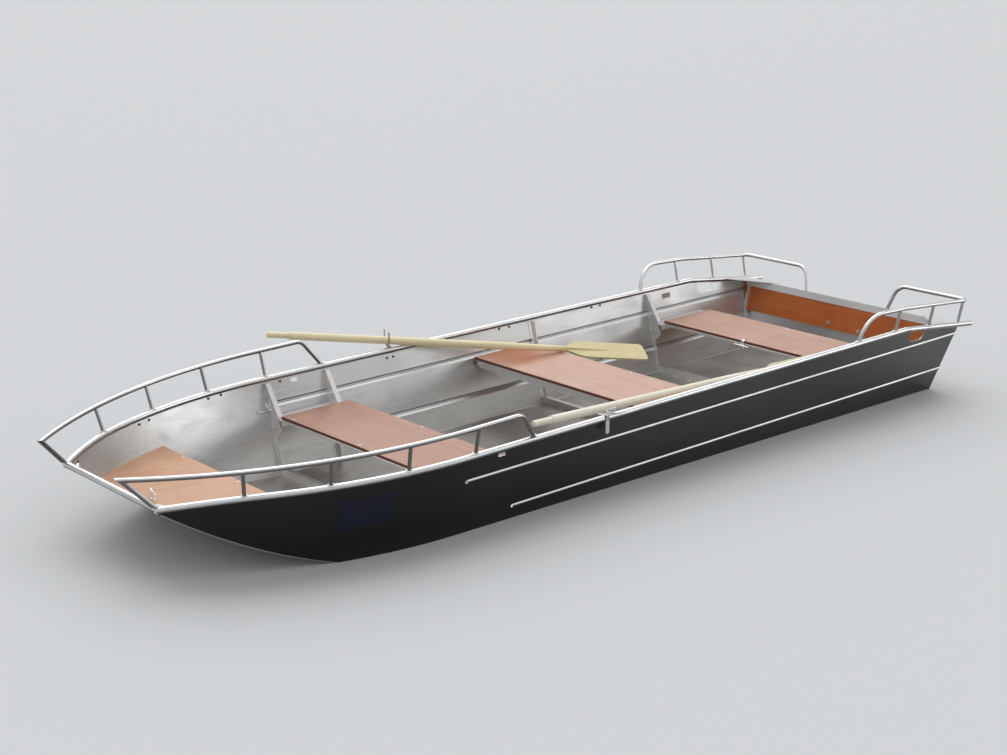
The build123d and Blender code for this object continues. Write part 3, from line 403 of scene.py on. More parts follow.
def painted_outer_shade(tree, spot, shade, outer_shade_colour):
    """Colour painted on the outer face as painted shade and painted reflection: clouded aft, darker
    towards the bow, and darker still low down.
    """
    aft = blend_colour(tree, span(tree, shade, *NOISE_MIDDLE), shaded(outer_shade_colour, 0.8), outer_shade_colour)
    forward = span(tree, spot["X"], -2.0, 1.3, 0, 0.9)
    colour = blend_colour(tree, forward, aft, shaded(outer_shade_colour, 0.12))
    # The band low down is painted shade as well.
    low_shade = span(tree, spot["Z"], 0.10, 0.20, 0.5, 0)
    return blend_colour(tree, low_shade, colour, shaded(outer_shade_colour, 0.5))


def sheet_metal(name, light, dark, rough=(0.28, 0.38), metallic=0.8, outer_shade_colour=None, dirt=None):
    """Rolled aluminium sheet: clouds of light and dark, rolling lines and stains.

    The shade is seven tenths clouds and three tenths lines. outer_shade_colour is the dark colour
    painted on the face that leans over, as painted shade and painted reflection; dirt is the colour
    of the patches where feet leave mud."""
    material, tree, shader, where = new_material(name)
    lines = noise(tree, mapped(tree, where, (0.8, 14, 14)), 5, 1, 0.4)
    clouds = noise(tree, where, 1.7, 2, 0.45, 0.3)
    stains = noise(tree, mapped(tree, where, (2, 2, 5)), 2.6, 3, 0.5, 0.4)
    shade = maths(tree, "ADD", maths(tree, "MULTIPLY", lines, 0.3),
                  maths(tree, "MULTIPLY", clouds, 0.7))
    colour = blend_colour(tree, span(tree, shade, *NOISE_MIDDLE), dark, light)
    stained = span(tree, stains, 0.58, 0.74, 0, 0.22)
    colour = blend_colour(tree, stained, colour, shaded(dark, 0.66))
    relief = bump(tree, noise(tree, where, 2.2, 0, 0.3), 0.012, 0.22)
    relief = bump(tree, lines, 0.0001, 0.1, relief)
    if dirt is not None:
        patches = noise(tree, where, 3.2, 4, 0.55, 0.6)
        colour = blend_colour(tree, span(tree, patches, 0.46, 0.72, 0, 0.5), colour, dirt)
    if outer_shade_colour is not None:
        spot, lean = parts_of(tree, where), facing(tree)["Z"]
        strip = painted_highlight_strips(tree, spot, lean)
        # The strips and every face that turns up are painted pale as a painted highlight.
        highlight_share = maths(tree, "MAXIMUM", strip, span(tree, lean, 0.30, 0.42, 0, 0.9))
        colour = blend_colour(tree, highlight_share, colour, PAINTED_HIGHLIGHT)
        # Faces whose normal points down, the outer face, get the painted shade and painted
        # reflection.
        down = span(tree, lean, -0.12, -0.02, 1, 0)
        colour = blend_colour(tree, down, colour, painted_outer_shade(tree, spot, shade, outer_shade_colour))
        relief = tilted_up(tree, relief, strip)
    put(tree, shader.inputs["Base Color"], colour)
    shader.inputs["Metallic"].default_value = metallic
    put(tree, shader.inputs["Roughness"], span(tree, stains, *NOISE_WIDE, *rough))
    put(tree, shader.inputs["Normal"], relief)
    return material


# The dark outside colour is painted shade and painted reflection for the outer face.
side_sheet = sheet_metal("side_metal", (0.70, 0.697, 0.69), (0.55, 0.547, 0.535),
                         outer_shade_colour=(0.112, 0.111, 0.108))
floor_sheet = sheet_metal("floor_metal", (0.61, 0.59, 0.56), (0.48, 0.46, 0.43), (0.30, 0.44), 0.7,
                          dirt=(0.33, 0.30, 0.26))
frame_sheet = sheet_metal("frame_metal", (0.90, 0.89, 0.88), (0.78, 0.77, 0.755), (0.30, 0.42), 0.7)
print("sheet finishes", side_sheet.name, floor_sheet.name, frame_sheet.name)

# %% [markdown]
# The tubes are drawn, not rolled, and hands polish them. They are the brightest metal on the boat,
# with a soft sheen and a faint haze where they were handled. Their undersides are painted dark as
# painted shade, which makes a dark line below each bright one. The gunwales and the rails share
# their tones, and differ in how far the painted shade comes up. The cast cleats are smoother still,
# and the rowlocks are zinc-plated steel gone matt.

# %% Tubes, castings and steel


def worked_metal(name, light, dark, rough, grain=140, relief=0.00015, metallic=1.0,
                 underside_shade=None, below=(-0.35, 0.30)):
    """Metal with a hazy two-tone surface, a fine grain and a roughness that follows the haze.

    underside_shade is a dark colour painted on undersides as painted shade. It fades out as the
    normal's z rises from the first to the second value of below."""
    material, tree, shader, where = new_material(name)
    haze = noise(tree, where, 9, 3, 0.5, 0.3)
    fine = noise(tree, where, grain, 3, 0.6)
    colour = blend_colour(tree, span(tree, haze, 0.34, 0.66), dark, light)
    colour = blend_colour(tree, span(tree, fine, 0.60, 0.74, 0, 0.15), colour, shaded(dark, 0.7))
    if underside_shade is not None:
        # Painted shade on the undersides, by the normal's z.
        grime_and_shade = span(tree, facing(tree)["Z"], *below, 0.92, 0)
        colour = blend_colour(tree, grime_and_shade, colour, underside_shade)
    put(tree, shader.inputs["Base Color"], colour)
    shader.inputs["Metallic"].default_value = metallic
    put(tree, shader.inputs["Roughness"], span(tree, haze, *NOISE_WIDE, *rough[::-1]))
    put(tree, shader.inputs["Normal"], bump(tree, fine, relief, 0.2))
    return material


TUBE_TONES = ((0.90, 0.90, 0.895), (0.78, 0.78, 0.775), (0.22, 0.32), 60, 0.00001)
# The dark underside colours are painted shade; on the rails it comes higher up.
tube_metal = worked_metal("satin_tube", *TUBE_TONES, underside_shade=(0.13, 0.122, 0.118))
rail_metal = worked_metal("satin_rail", *TUBE_TONES, underside_shade=(0.105, 0.095, 0.092),
                          below=(0.0, 0.48))
cast_metal = worked_metal("cast_cleat", (0.93, 0.93, 0.92), (0.80, 0.80, 0.79), (0.12, 0.24))
zinc = worked_metal("zinc_steel", (0.62, 0.62, 0.61), (0.42, 0.42, 0.41), (0.34, 0.5),
                    relief=0.0003)
weld_metal = worked_metal("weld_metal", (0.96, 0.96, 0.95), (0.80, 0.795, 0.78), (0.30, 0.42), 500,
                          metallic=0.6)
screw_metal = worked_metal("stainless_screw", (0.72, 0.72, 0.71), (0.52, 0.52, 0.51), (0.2, 0.34),
                           700)
stud_metal = worked_metal("dark_rivet", (0.10, 0.095, 0.09), (0.05, 0.05, 0.05), (0.4, 0.55), 600,
                          metallic=0.6)
metals = (tube_metal, rail_metal, cast_metal, zinc, weld_metal, screw_metal, stud_metal)
print("metals", [material.name for material in metals])

# %% [markdown]
# The seats are plywood with a pinkish film pressed on it. The film has worn and faded in clouds,
# and the grain of the veneer shows through as long thin streaks across the boat. The sawn edge is
# bare: dark red-brown with the stripes of the plies. The three seats share one film. The middle one
# is painted paler as painted light, with real rust soaked into its starboard end, and the fore one
# is painted darker as painted shade. The board on the transom has no film, only varnish.

# %% Boards
PLY = 0.0014
RUST = ((-0.38, -0.62, 0.365), 0.26, (0.52, 0.16, 0.05))


def board(name, light, dark, edge, grain, rough, wear, coat=0.0, streak=0.5, mottled=0.35,
          stain=None, film=True):
    """Plywood board: streaks along the grain, worn clouds on its face and plies on its edge.

    grain is how fine the streaks are along X, Y and Z, and streak is the fine ones' share. The
    plies are a saw of the height z, and they show where the normal's z is small. stain is a
    point, a reach and a colour, and it fades with the distance from the point."""
    material, tree, shader, where = new_material(name)
    coarse = tuple(0.3 * part for part in grain)
    fine = noise(tree, mapped(tree, where, grain), 5.0, 8, 0.68, 0.25)
    broad = noise(tree, mapped(tree, where, coarse), 4.0, 4, 0.6, 1.1)
    clouds = noise(tree, where, 3.4, 6, 0.62, 0.7)
    streaks = maths(tree, "ADD", maths(tree, "MULTIPLY", fine, streak),
                    maths(tree, "MULTIPLY", broad, 1 - streak))
    colour = blend_colour(tree, span(tree, streaks, *NOISE_MIDDLE), dark, light)
    colour = blend_colour(tree, span(tree, clouds, 0.44, 0.68, 0, mottled), colour, wear)
    if stain is not None:
        spot, reach, tint = stain
        gap = tree.nodes.new("ShaderNodeVectorMath")
        gap.operation = "DISTANCE"
        tree.links.new(where, gap.inputs[0])
        gap.inputs[1].default_value = spot
        uneven = maths(tree, "MULTIPLY", clouds, 0.35 * reach)
        ragged = maths(tree, "ADD", gap.outputs["Value"], uneven)
        soaked = span(tree, ragged, 0.45 * reach, 1.2 * reach, 0.85, 0)
        colour = blend_colour(tree, soaked, colour, tint)
    if film:
        flat = maths(tree, "ABSOLUTE", facing(tree)["Z"], 0.0)
        plies = maths(tree, "PINGPONG", parts_of(tree, where)["Z"], PLY)
        bare = blend_colour(tree, span(tree, plies, 0.0, PLY, 0, 0.55), edge, shaded(edge, 0.55))
        colour = blend_colour(tree, span(tree, flat, 0.3, 0.8), bare, colour)
    put(tree, shader.inputs["Base Color"], colour)
    put(tree, shader.inputs["Roughness"], span(tree, clouds, *NOISE_WIDE, *rough))
    shader.inputs["Coat Weight"].default_value = coat
    shader.inputs["Coat Roughness"].default_value = 0.12
    put(tree, shader.inputs["Normal"], bump(tree, fine, 0.0006, 0.25))
    return material


looks = dict(light=(0.56, 0.325, 0.235), dark=(0.44, 0.225, 0.155), wear=(0.66, 0.43, 0.34),
             edge=(0.17, 0.055, 0.035), grain=(22, 1.6, 22), rough=(0.30, 0.48))
seat_board = board("seat_film", **looks)
# The middle seat's film is painted paler, as painted light; its rust stain is real.
looks.update(light=(0.62, 0.385, 0.285), dark=(0.50, 0.275, 0.195), wear=(0.74, 0.52, 0.43))
lit_stained_board = board("seat_film_painted_light_stained", stain=RUST, **looks)
# The fore seat's film is painted darker, as painted shade.
looks.update(light=(0.49, 0.265, 0.185), dark=(0.385, 0.19, 0.125), wear=(0.55, 0.335, 0.26))
shaded_fore_board = board("seat_film_painted_shade", **looks)
deck_board = board("deck_film", (0.66, 0.36, 0.21), (0.50, 0.245, 0.125), (0.20, 0.07, 0.04),
                   (1.6, 20, 20), (0.30, 0.46), (0.74, 0.47, 0.33), streak=0.7)
varnished = board("varnished_board", (0.62, 0.150, 0.018), (0.42, 0.080, 0.009), (0.15, 0.04, 0.02),
                  (24, 1.2, 30), (0.26, 0.38), (0.68, 0.21, 0.035), coat=0.2, streak=0.6,
                  mottled=0.3, film=False)
boards = (seat_board, lit_stained_board, shaded_fore_board, deck_board, varnished)
print("boards", [material.name for material in boards])

# %% [markdown]
# Each oar is pale softwood under thin varnish. The grain runs along the shaft, so the pattern is
# turned to the oar's own direction before it is stretched. The direction comes from the packed
# oar itself: the longest axis of its points, found as the first singular vector. The starboard
# oar has gone yellower than the port one.

# %% Oars


def long_axis(name):
    """Centre of a node and the unit vector towards its wider end, where an oar has its blade.

    The vector is the first singular vector of the points about their centre. It is turned round
    if the points' mean distance from the axis is larger at its other end."""
    mesh = nodes[name].data
    points = np.empty(len(mesh.vertices) * 3, np.float32)
    mesh.vertices.foreach_get("co", points)
    points = points.reshape(-1, 3).astype(float)
    centre = (points.min(axis=0) + points.max(axis=0)) / 2
    way = np.linalg.svd(points - points.mean(axis=0), full_matrices=False)[2][0]
    along = (points - centre) @ way
    off = np.linalg.norm(points - centre - along[:, None] * way, axis=1)
    if off[along > 0.5 * along.max()].mean() < off[along < 0.5 * along.min()].mean():
        way = -way
    return centre, way


BLADE_FROM = 0.56
PORT_PALE, PORT_DARK = (0.96, 0.92, 0.78), (0.88, 0.81, 0.62)
STARBOARD_PALE, STARBOARD_DARK = (0.94, 0.84, 0.56), (0.84, 0.71, 0.41)


def oar_wood(name, node, light, dark):
    """Pale varnished wood whose grain follows one oar. The blade is more worn and yellower."""
    centre, way = long_axis(node)
    turn = Vector(way).to_track_quat("X", "Z").to_euler()
    material, tree, shader, where = new_material(name)
    along = mapped(tree, where, centre=centre, turn=turn)
    grain = noise(tree, mapped(tree, along, (1.2, 40, 40)), 4.0, 7, 0.66, 0.2)
    broad = noise(tree, mapped(tree, along, (0.8, 9, 9)), 4.0, 3, 0.5, 0.8)
    colour = blend_colour(tree, span(tree, grain, 0.36, 0.66), dark, light)
    colour = blend_colour(tree, span(tree, broad, 0.45, 0.7, 0, 0.5), colour, shaded(light, 1.06))
    dots = noise(tree, along, 46, 2, 0.5)
    colour = blend_colour(tree, span(tree, dots, 0.72, 0.76, 0, 0.8), colour, (0.16, 0.11, 0.06))
    grime_and_shade = noise(tree, along, 12, 5, 0.6)
    colour = blend_colour(tree, span(tree, grime_and_shade, 0.55, 0.75, 0, 0.35), colour, shaded(dark, 0.88))
    blade = span(tree, parts_of(tree, along)["X"], BLADE_FROM - 0.08, BLADE_FROM + 0.04, 0, 0.65)
    worn = blend_colour(tree, grain, (0.50, 0.39, 0.14), (0.66, 0.55, 0.23))
    colour = blend_colour(tree, blade, colour, worn)
    put(tree, shader.inputs["Base Color"], colour)
    put(tree, shader.inputs["Roughness"], span(tree, grime_and_shade, 0.35, 0.7, 0.34, 0.5))
    shader.inputs["Coat Weight"].default_value = 0.25
    shader.inputs["Coat Roughness"].default_value = 0.25
    put(tree, shader.inputs["Normal"], bump(tree, grain, 0.0005, 0.3))
    return material


port_oar = oar_wood("oar_wood_port", "oar_port", PORT_PALE, PORT_DARK)
starboard_oar = oar_wood("oar_wood_starboard", "oar_starboard", STARBOARD_PALE, STARBOARD_DARK)
print("oars", port_oar.name, starboard_oar.name)

# %% [markdown]
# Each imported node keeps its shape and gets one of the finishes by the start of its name.

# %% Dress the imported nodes
FINISHES = (
    ("side_plate", side_sheet), ("bow_plate", side_sheet), ("transom_plate", side_sheet),
    ("bottom_plate", floor_sheet), ("keel_runner", floor_sheet),
    ("gunwale", tube_metal), ("bow_tube", tube_metal),
    ("bow_rail", rail_metal), ("stern_rail", tube_metal),
    ("rear_seat_", frame_sheet), ("centre_seat_", frame_sheet), ("fore_seat_", frame_sheet),
    ("rear_seat", seat_board), ("centre_seat", lit_stained_board), ("fore_seat", shaded_fore_board),
    ("bow_deck_beam", frame_sheet), ("bow_deck", deck_board), ("transom_board", varnished),
    ("bow_cleat", cast_metal), ("seat_cleat", cast_metal), ("rowlock", zinc),
    ("oar_port", port_oar), ("oar_starboard", starboard_oar),
    ("", frame_sheet),
)
for name, node in nodes.items():
    finish = next(material for start, material in FINISHES if name.startswith(start))
    node.data.materials.clear()
    node.data.materials.append(finish)
print("dressed", len(nodes), "nodes")

# %% [markdown]
# The floor lies at the waterline. The boat sits a little by the stern, so the floor is a sloping
# plane in the boat's own frame, 46 mm above the runners' foot at the transom and rising towards
# the bow. The hull stands in it, so the floor has a hole of the hull's outline where it cuts the
# sides, and the hole's edge lies inside the thickness of the sheet. Rings of points carry the
# hole's outline out to a wide circle.

# %% Waterline floor
FLOOR_Z = 0.020
ROCKER_X = 1.1055
ROCKER_RADIUS = 2.480
TRIM = radians(0.991)
LINE_STERN_Z = 0.0463
LINE_STERN_X = -2.4875
FLOOR_REACH = 300.0
RING_SHARES = (0, 0.002, 0.01, 0.04, 0.12, 0.35, 1)
EDGE_INSET = 0.0015


def bottom_z(x, lift=0.0):
    """Height of the bottom sheet at x: level aft, then a circle's ordinate. lift is inward."""
    ahead = np.maximum(np.asarray(x, float) - ROCKER_X, 0)
    return FLOOR_Z + ROCKER_RADIUS - np.sqrt((ROCKER_RADIUS - lift) ** 2 - ahead ** 2)


def line_z(x):
    """Height of the waterline plane at x: a straight line that rises towards the bow."""
    return LINE_STERN_Z + tan(TRIM) * (np.asarray(x, float) - LINE_STERN_X)


def waterline(count=60):
    """Outline of the hull at the floor, port side from the stern to the bow and back to starboard.

    Each side is the wall's half breadth at the floor's height. The bow end is where the bottom's
    arc rises through the floor."""
    x = np.linspace(0, 2.4, 6000)
    rise = bottom_z(x)
    fore = x[np.argmax(rise > line_z(x))] - EDGE_INSET * 3
    aft = -HULL_HALF + (SHEER_Z - line_z(-HULL_HALF)) * tan(FLARE) + EDGE_INSET
    run = aft + (fore - aft) * (0.5 - 0.5 * np.cos(np.linspace(0, np.pi, count)))
    side = wall_breadth(run, line_z(run), EDGE_INSET)
    port = np.stack([run, side, line_z(run)], axis=1)
    starboard = port[::-1] * [1, -1, 1]
    return np.concatenate([port, starboard])


inner = waterline()
bearing = np.arctan2(inner[:, 1], inner[:, 0])
outer = np.stack([np.cos(bearing) * FLOOR_REACH, np.sin(bearing) * FLOOR_REACH], axis=1)
outer = np.concatenate([outer, line_z(outer[:, :1])], axis=1)
share = np.array(RING_SHARES)[:, None, None]
plane = inner[None] * (1 - share) + outer[None] * share
quads = grid_quads(len(RING_SHARES), len(inner))[:, ::-1].tolist()
floor_paint, _, shader, _ = new_material("floor_paint")
shader.inputs["Base Color"].default_value = (0.62, 0.63, 0.64, 1)
shader.inputs["Roughness"].default_value = 0.9
floor = new_object("floor", plane, quads, floor_paint)
print("floor at the bow", round(float(line_z(2)), 4), "points round the hole", len(inner))

# %% [markdown]
# The welds that show are where the posts of the hand rails meet the gunwale, where the rails' ends
# come down on it, and at the two corners of the bow tube. Each is a ring of weld round a tube.

# %% Rail welds
POST_RADIUS, RAIL_RADIUS, RAIL_WELD = 0.0085, 0.011, 0.0052
BOW_FEET = (4.725, 4.390, 4.038, 3.683)
STERN_FEET = (0.034, 0.330, 0.651)
RAIL_ENDS = ((3.331, 0.006, (0.5, 0, 0.85)), (0.980, -0.004, (-0.3, 0, 0.95)))
MITRE_AXIS = (-0.455, 0.89, 0)
STERN_DROP, STERN_BREAK = 0.068, 0.548
BOW_DROP, BOW_BREAK, BOW_RUN = 0.028, 4.625, 0.400


def place(station):
    """X of a station, in metres forward of the transom's top edge."""
    return station - HULL_HALF


def gunwale_at(station):
    """Centre of the port gunwale tube. It falls in a line to the stern, as a square to the bow."""
    aft = max(STERN_BREAK - station, 0) / STERN_BREAK
    fore = max(station - BOW_BREAK, 0) / BOW_RUN
    z = SHEER_Z - STERN_DROP * aft - BOW_DROP * fore ** 2
    return np.array([place(station), float(wall_breadth(place(station), z)), z])


def both_sides(paths):
    """Paths and their mirror images in the boat's middle plane."""
    return [np.asarray(path) * [1, side, 1] for path in paths for side in (1, -1)]


rings = []
for station in BOW_FEET + STERN_FEET:
    foot = gunwale_at(station) + [0, 0.004, TUBE_RADIUS - 0.001]
    rings.append(circle_path(foot, (0, 0.2, 1), POST_RADIUS + 0.003))
for station, ahead, axis in RAIL_ENDS:
    foot = gunwale_at(station) + [ahead, 0, TUBE_RADIUS - 0.003]
    rings.append(circle_path(foot, axis, RAIL_RADIUS + 0.001))
low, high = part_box("bow_tube")
corner = [(low.x + high.x) / 2, high.y - TUBE_RADIUS, (low.z + high.z) / 2]
rings.append(circle_path(corner, MITRE_AXIS, TUBE_RADIUS + 0.0008))
rail_welds = joined("rail_welds", [weld(path, RAIL_WELD) for path in both_sides(rings)], weld_metal)

# %% [markdown]
# Inside, the side sheets are welded to the bottom in one long seam from the transom to the bow,
# and to the transom up both corners. The frames only need short stitches. The seam follows the
# corner of two surfaces that the script already knows: the wall's breadth at a height, and the
# bottom, which is level and then rises on an arc.

# %% Hull seams
TRANSOM_X, TRANSOM_Z = place(0.0176), 0.432
SEAM_WELD, SEAM_STEP, SEAM_END = 0.0034, 0.011, 2.33


def transom_x(z, inward):
    """X of a plane a distance inside the transom's outer face, which leans by the same angle."""
    return TRANSOM_X + (inward - (np.asarray(z, float) - TRANSOM_Z) * sin(FLARE)) / cos(FLARE)


def corner_path(x, z, back=0.002):
    """Path in the corner of the side sheet, a little inboard of its inner face."""
    x, z = np.broadcast_arrays(np.asarray(x, float), np.asarray(z, float))
    return np.stack([x, wall_breadth(x, z, SHEET) - back, z], axis=1)


run = np.linspace(transom_x(0.03, 0.006), SEAM_END, 160)
seam = corner_path(run, bottom_z(run, SHEET) + 0.002)
rise = np.linspace(0.035, 0.425, 12)
stern_seam = corner_path(transom_x(rise, 0.005), rise)
seams = [weld(path, SEAM_WELD, 0.12, SEAM_STEP) for path in both_sides([seam, stern_seam])]
hull_seams = joined("hull_seams", seams, weld_metal)

# %% Frame stitches
KNEES = (0.948, 3.330, 3.698)
RIBS = (0.948, 1.895, 3.698)
STITCH_WELD, STITCH_OFF = 0.0024, 0.0012
STITCH_TOPS, STITCH_DOWN = (0.455, 0.375, 0.295), 0.038
STITCH_MIDDLES, STITCH_HALF = np.arange(0.06, 0.60, 0.12), 0.020
stitches = []
for station in KNEES:
    for top in STITCH_TOPS:
        height = np.linspace(top, top - STITCH_DOWN, 6)
        stitches.append(corner_path(place(station) + SHEET + STITCH_OFF, height, 0.001))
foot = np.linspace(0.215, 0.045, 12)
stitches.append(corner_path(place(KNEES[-1]) + SHEET + 0.001, foot, 0.001))
for station in RIBS:
    x = place(station) + SHEET + STITCH_OFF
    z = float(bottom_z(x, SHEET)) + 0.001
    for middle in STITCH_MIDDLES:
        across = np.linspace(middle - STITCH_HALF, middle + STITCH_HALF, 6)
        stitches.append(np.stack([np.full(6, x), across, np.full(6, z)], axis=1))
beads = [weld(path, STITCH_WELD) for path in both_sides(stitches)]
frame_stitches = joined("frame_stitches", beads, weld_metal)

# %% [markdown]
# Screws hold the boards down, bolts go through the knees' round lobes, the wall ribs and the
# transom's board, and small dark studs for a cover line the walls under the gunwale. Each head is
# a short profile turned about the normal of the face that it sits on. A bolt's three sizes are
# half the width of its head, the head's height and the washer's radius.

# %% Board screws
UP = (0, 0, 1)
SEAT_TOP, CENTRE_TOP, DECK_TOP = 0.330, 0.365, 0.338
SCREW_RADIUS, SCREW_HEIGHT = 0.0078, 0.0028
SCREWS = (
    (0.516, SEAT_TOP, (-0.60, -0.05, 0.60)), (0.872, SEAT_TOP, (-0.60, -0.30, 0.30, 0.60)),
    (3.271, SEAT_TOP, (-0.611, -0.075, 0.611)), (3.663, SEAT_TOP, (-0.60, -0.060, 0.60)),
    (1.934, CENTRE_TOP, (-0.66, 0.05, 0.66)), (2.312, CENTRE_TOP, (-0.66, 0.05, 0.66)),
    (4.389, DECK_TOP, (-0.60, -0.460, 0.0, 0.460, 0.60)),
)
heads = [pan_head((place(station), y, z), UP, SCREW_RADIUS, SCREW_HEIGHT)
         for station, z, row in SCREWS for y in row]
board_screws = joined("board_screws", heads, screw_metal)

# %% Frame bolts
LOBE_Y, LOBE_Z = 0.706, 0.265
KNEE_BOLT, KNEE_NUT = (0.0065, 0.0055, 0.011), (0.0065, 0.005, 0.011)
RIB_STATION, RIB_Z, RIB_OFF, RIB_BOLT = 1.905, 0.379, 0.011, (0.005, 0.0045, 0.008)
BOARD_FACE, BOARD_BOLT = 0.024, (0.0065, 0.0055, 0.012)
BOARD_BOLTS = ((-0.0869, 0.2852), (0.1389, 0.2727))
INTO_BOAT = (cos(FLARE), 0, sin(FLARE))
bolts = []
for station in KNEES:
    for side in (1, -1):
        aft = np.array([place(station), side * LOBE_Y, LOBE_Z])
        fore = aft + [SHEET, 0, 0]
        bolts += hex_bolt(fore, (1, 0, 0), *KNEE_BOLT)
        bolts += hex_bolt(aft, (-1, 0, 0), *KNEE_NUT)
for y, z in BOARD_BOLTS:
    bolts += hex_bolt((float(transom_x(z, BOARD_FACE)), y, z), INTO_BOAT, *BOARD_BOLT)
for side in (1, -1):
    spot, out = wall_spot(place(RIB_STATION), RIB_Z, side, SHEET)
    bolts += hex_bolt(spot - out * [0, RIB_OFF, RIB_OFF], (1, 0, 0), *RIB_BOLT)
frame_bolts = joined("frame_bolts", bolts, screw_metal, smooth=False)

# %% Cover studs
STUD_RADIUS, STUD_HEIGHT = 0.0062, 0.0065
STUDS = ((4.939, 0.452), (4.494, 0.472), (4.427, 0.474), (4.042, 0.478), (3.963, 0.478),
         (3.605, 0.474), (2.921, 0.464), (2.880, 0.464), (2.123, 0.478), (2.048, 0.478),
         (1.400, 0.478), (1.330, 0.478))
studs = []
for station, z in STUDS:
    for side in (1, -1):
        spot, out = wall_spot(place(station), z, side, SHEET)
        studs.append(pan_head(spot, -out, STUD_RADIUS, STUD_HEIGHT))
cover_studs = joined("cover_studs", studs, stud_metal)

# %% [markdown]
# A short rod sticks forward out of each fore knee, as a hook for loose gear. It is a bar with a
# rounded end, held by a nut. The formula for its end is a quarter circle on the bar's radius.

# %% Knee pegs
PEG_RADIUS, PEG_LENGTH, PEG_Z, PEG_OFF = 0.0045, 0.072, 0.352, 0.014
PEG_NUT = (0.0075, 0.006, 0.010)
quarter = np.radians(np.linspace(0, 80, 5))
end = [(PEG_RADIUS * cos(a), PEG_LENGTH - PEG_RADIUS * (1 - sin(a))) for a in quarter]
pegs = []
for side in (1, -1):
    spot, _ = wall_spot(place(KNEES[-1]) + SHEET, PEG_Z, side, SHEET)
    base = spot - [0, side * PEG_OFF, 0]
    pegs.append(turned(base, (1, 0, 0), [(PEG_RADIUS, -SUNK)] + end, 12))
    pegs += hex_bolt(base, (1, 0, 0), *PEG_NUT)
knee_pegs = joined("knee_pegs", pegs, cast_metal)

# %% [markdown]
# The bow cleat is a casting: a bar with two horns that rise a little to their tips, on two short
# legs that spread into an oval foot with two screws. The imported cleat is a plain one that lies
# along the boat. The real one is turned almost across it, so this one stands in its place. Each
# part is rings carried along a path, worked out lying along the boat and then turned.

# %% Bow cleat
CLEAT_AT = (place(4.781), -0.070, DECK_TOP)
CLEAT_TURN = radians(73)
HORN_HALF, HORN_RADIUS, HORN_Z, HORN_LIFT = 0.055, 0.0068, 0.030, 0.0045
LEG_OUT, LEG_FROM, LEG_WAIST, LEG_SPREAD = 0.015, 0.003, 0.0052, 0.0042
FOOT_HALF, FOOT_WIDE, FOOT_HIGH, FOOT_ROUND = 0.034, 0.011, 0.0045, 0.002
FOOT_SCREW = 0.026


def carried(path, radii, across, columns=14):
    """Oval rings along a path. radii holds a width and a height for each point of the path."""
    path, radii = np.asarray(path, float), np.asarray(radii, float)
    way = np.gradient(path, axis=0)
    way /= np.linalg.norm(way, axis=1)[:, None]
    side = np.broadcast_to(np.asarray(across, float), way.shape)
    up = np.cross(way, side)
    angle = np.arange(columns) * 2 * np.pi / columns
    rings = path[:, None] + radii[:, None, :1] * np.cos(angle)[None, :, None] * side[:, None]
    return closed_shape(rings + radii[:, None, 1:] * np.sin(angle)[None, :, None] * up[:, None])


def on_deck(shape):
    """A shape of the cleat, turned about the upright and set down on the deck."""
    points, faces = shape
    c, n = cos(CLEAT_TURN), sin(CLEAT_TURN)
    return points @ np.array([[c, n, 0], [-n, c, 0], [0, 0, 1]]) + CLEAT_AT, faces


t = np.linspace(-1, 1, 25)
bar = np.stack([HORN_HALF * t, 0 * t, HORN_Z + HORN_LIFT * np.abs(t) ** 2.5], axis=1)
thick = HORN_RADIUS * np.sqrt(np.clip(1.02 - np.abs(t) ** 3, 0, 1))
cast = [carried(bar, np.stack([thick, 0.8 * thick], axis=1), (0, 1, 0))]
h = np.linspace(0, 1, 9)
waist = LEG_WAIST + LEG_SPREAD * (1 - h) ** 3
for side in (1, -1):
    lean = side * LEG_OUT * (1.25 - 0.25 * h)
    leg = np.stack([lean, 0 * h, LEG_FROM + (HORN_Z - LEG_FROM) * h], axis=1)
    cast.append(carried(leg, np.stack([waist, waist], axis=1), (0, 1, 0)))
edge = np.linspace(0, np.pi / 2, 5)[:, None]
angle = np.arange(28) * 2 * np.pi / 28
inward = FOOT_ROUND * (1 - np.cos(edge))
height = np.broadcast_to(FOOT_HIGH * np.sin(edge) - 0.0003, (5, 28))
foot = [(FOOT_HALF - inward) * np.cos(angle), (FOOT_WIDE - inward) * np.sin(angle), height]
cast.append(closed_shape(np.stack(foot, axis=-1)))
for side in (1, -1):
    cast.append(pan_head((side * FOOT_SCREW, 0, FOOT_HIGH - 0.0003), UP, 0.0038, 0.0016))
bow_cleat = joined("bow_horn_cleat", [on_deck(shape) for shape in cast], cast_metal)
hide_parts("bow_cleat")

# %% [markdown]
# The boards of the rear and the fore seat rest on a folded lip that shows as a thin bright line
# under the board's fore edge. At the middle of the rear seat a flat lug hooks over the edge, for
# the cleat below it. Both are flat oval bars carried along short paths, set out from the boards.
# Each point of the lug's path is a distance forward of the board's edge, and one up from its
# underside (0) or its top (1).

# %% Seat lips and cleat lug
LIP_HALF, LIP_THICK, LIP_SHORT = 0.0040, 0.0016, 0.06
LUG_HALF, LUG_THICK = 0.011, 0.0022
LUG_PATH = ((0.004, 0, -0.030), (0.004, 1, -0.001), (0.002, 1, 0.0025), (-0.006, 1, 0.0032),
            (-0.022, 1, 0.0032))
lips = []
for board_name in ("rear_seat", "fore_seat"):
    low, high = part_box(board_name)
    y = np.linspace(low.y + LIP_SHORT, high.y - LIP_SHORT, 9)
    path = np.stack([np.full(9, high.x), y, np.full(9, low.z - LIP_THICK)], axis=1)
    lips.append(carried(path, np.tile([LIP_HALF, LIP_THICK], (9, 1)), (1, 0, 0), 10))
seat_lips = joined("seat_lips", lips, weld_metal)

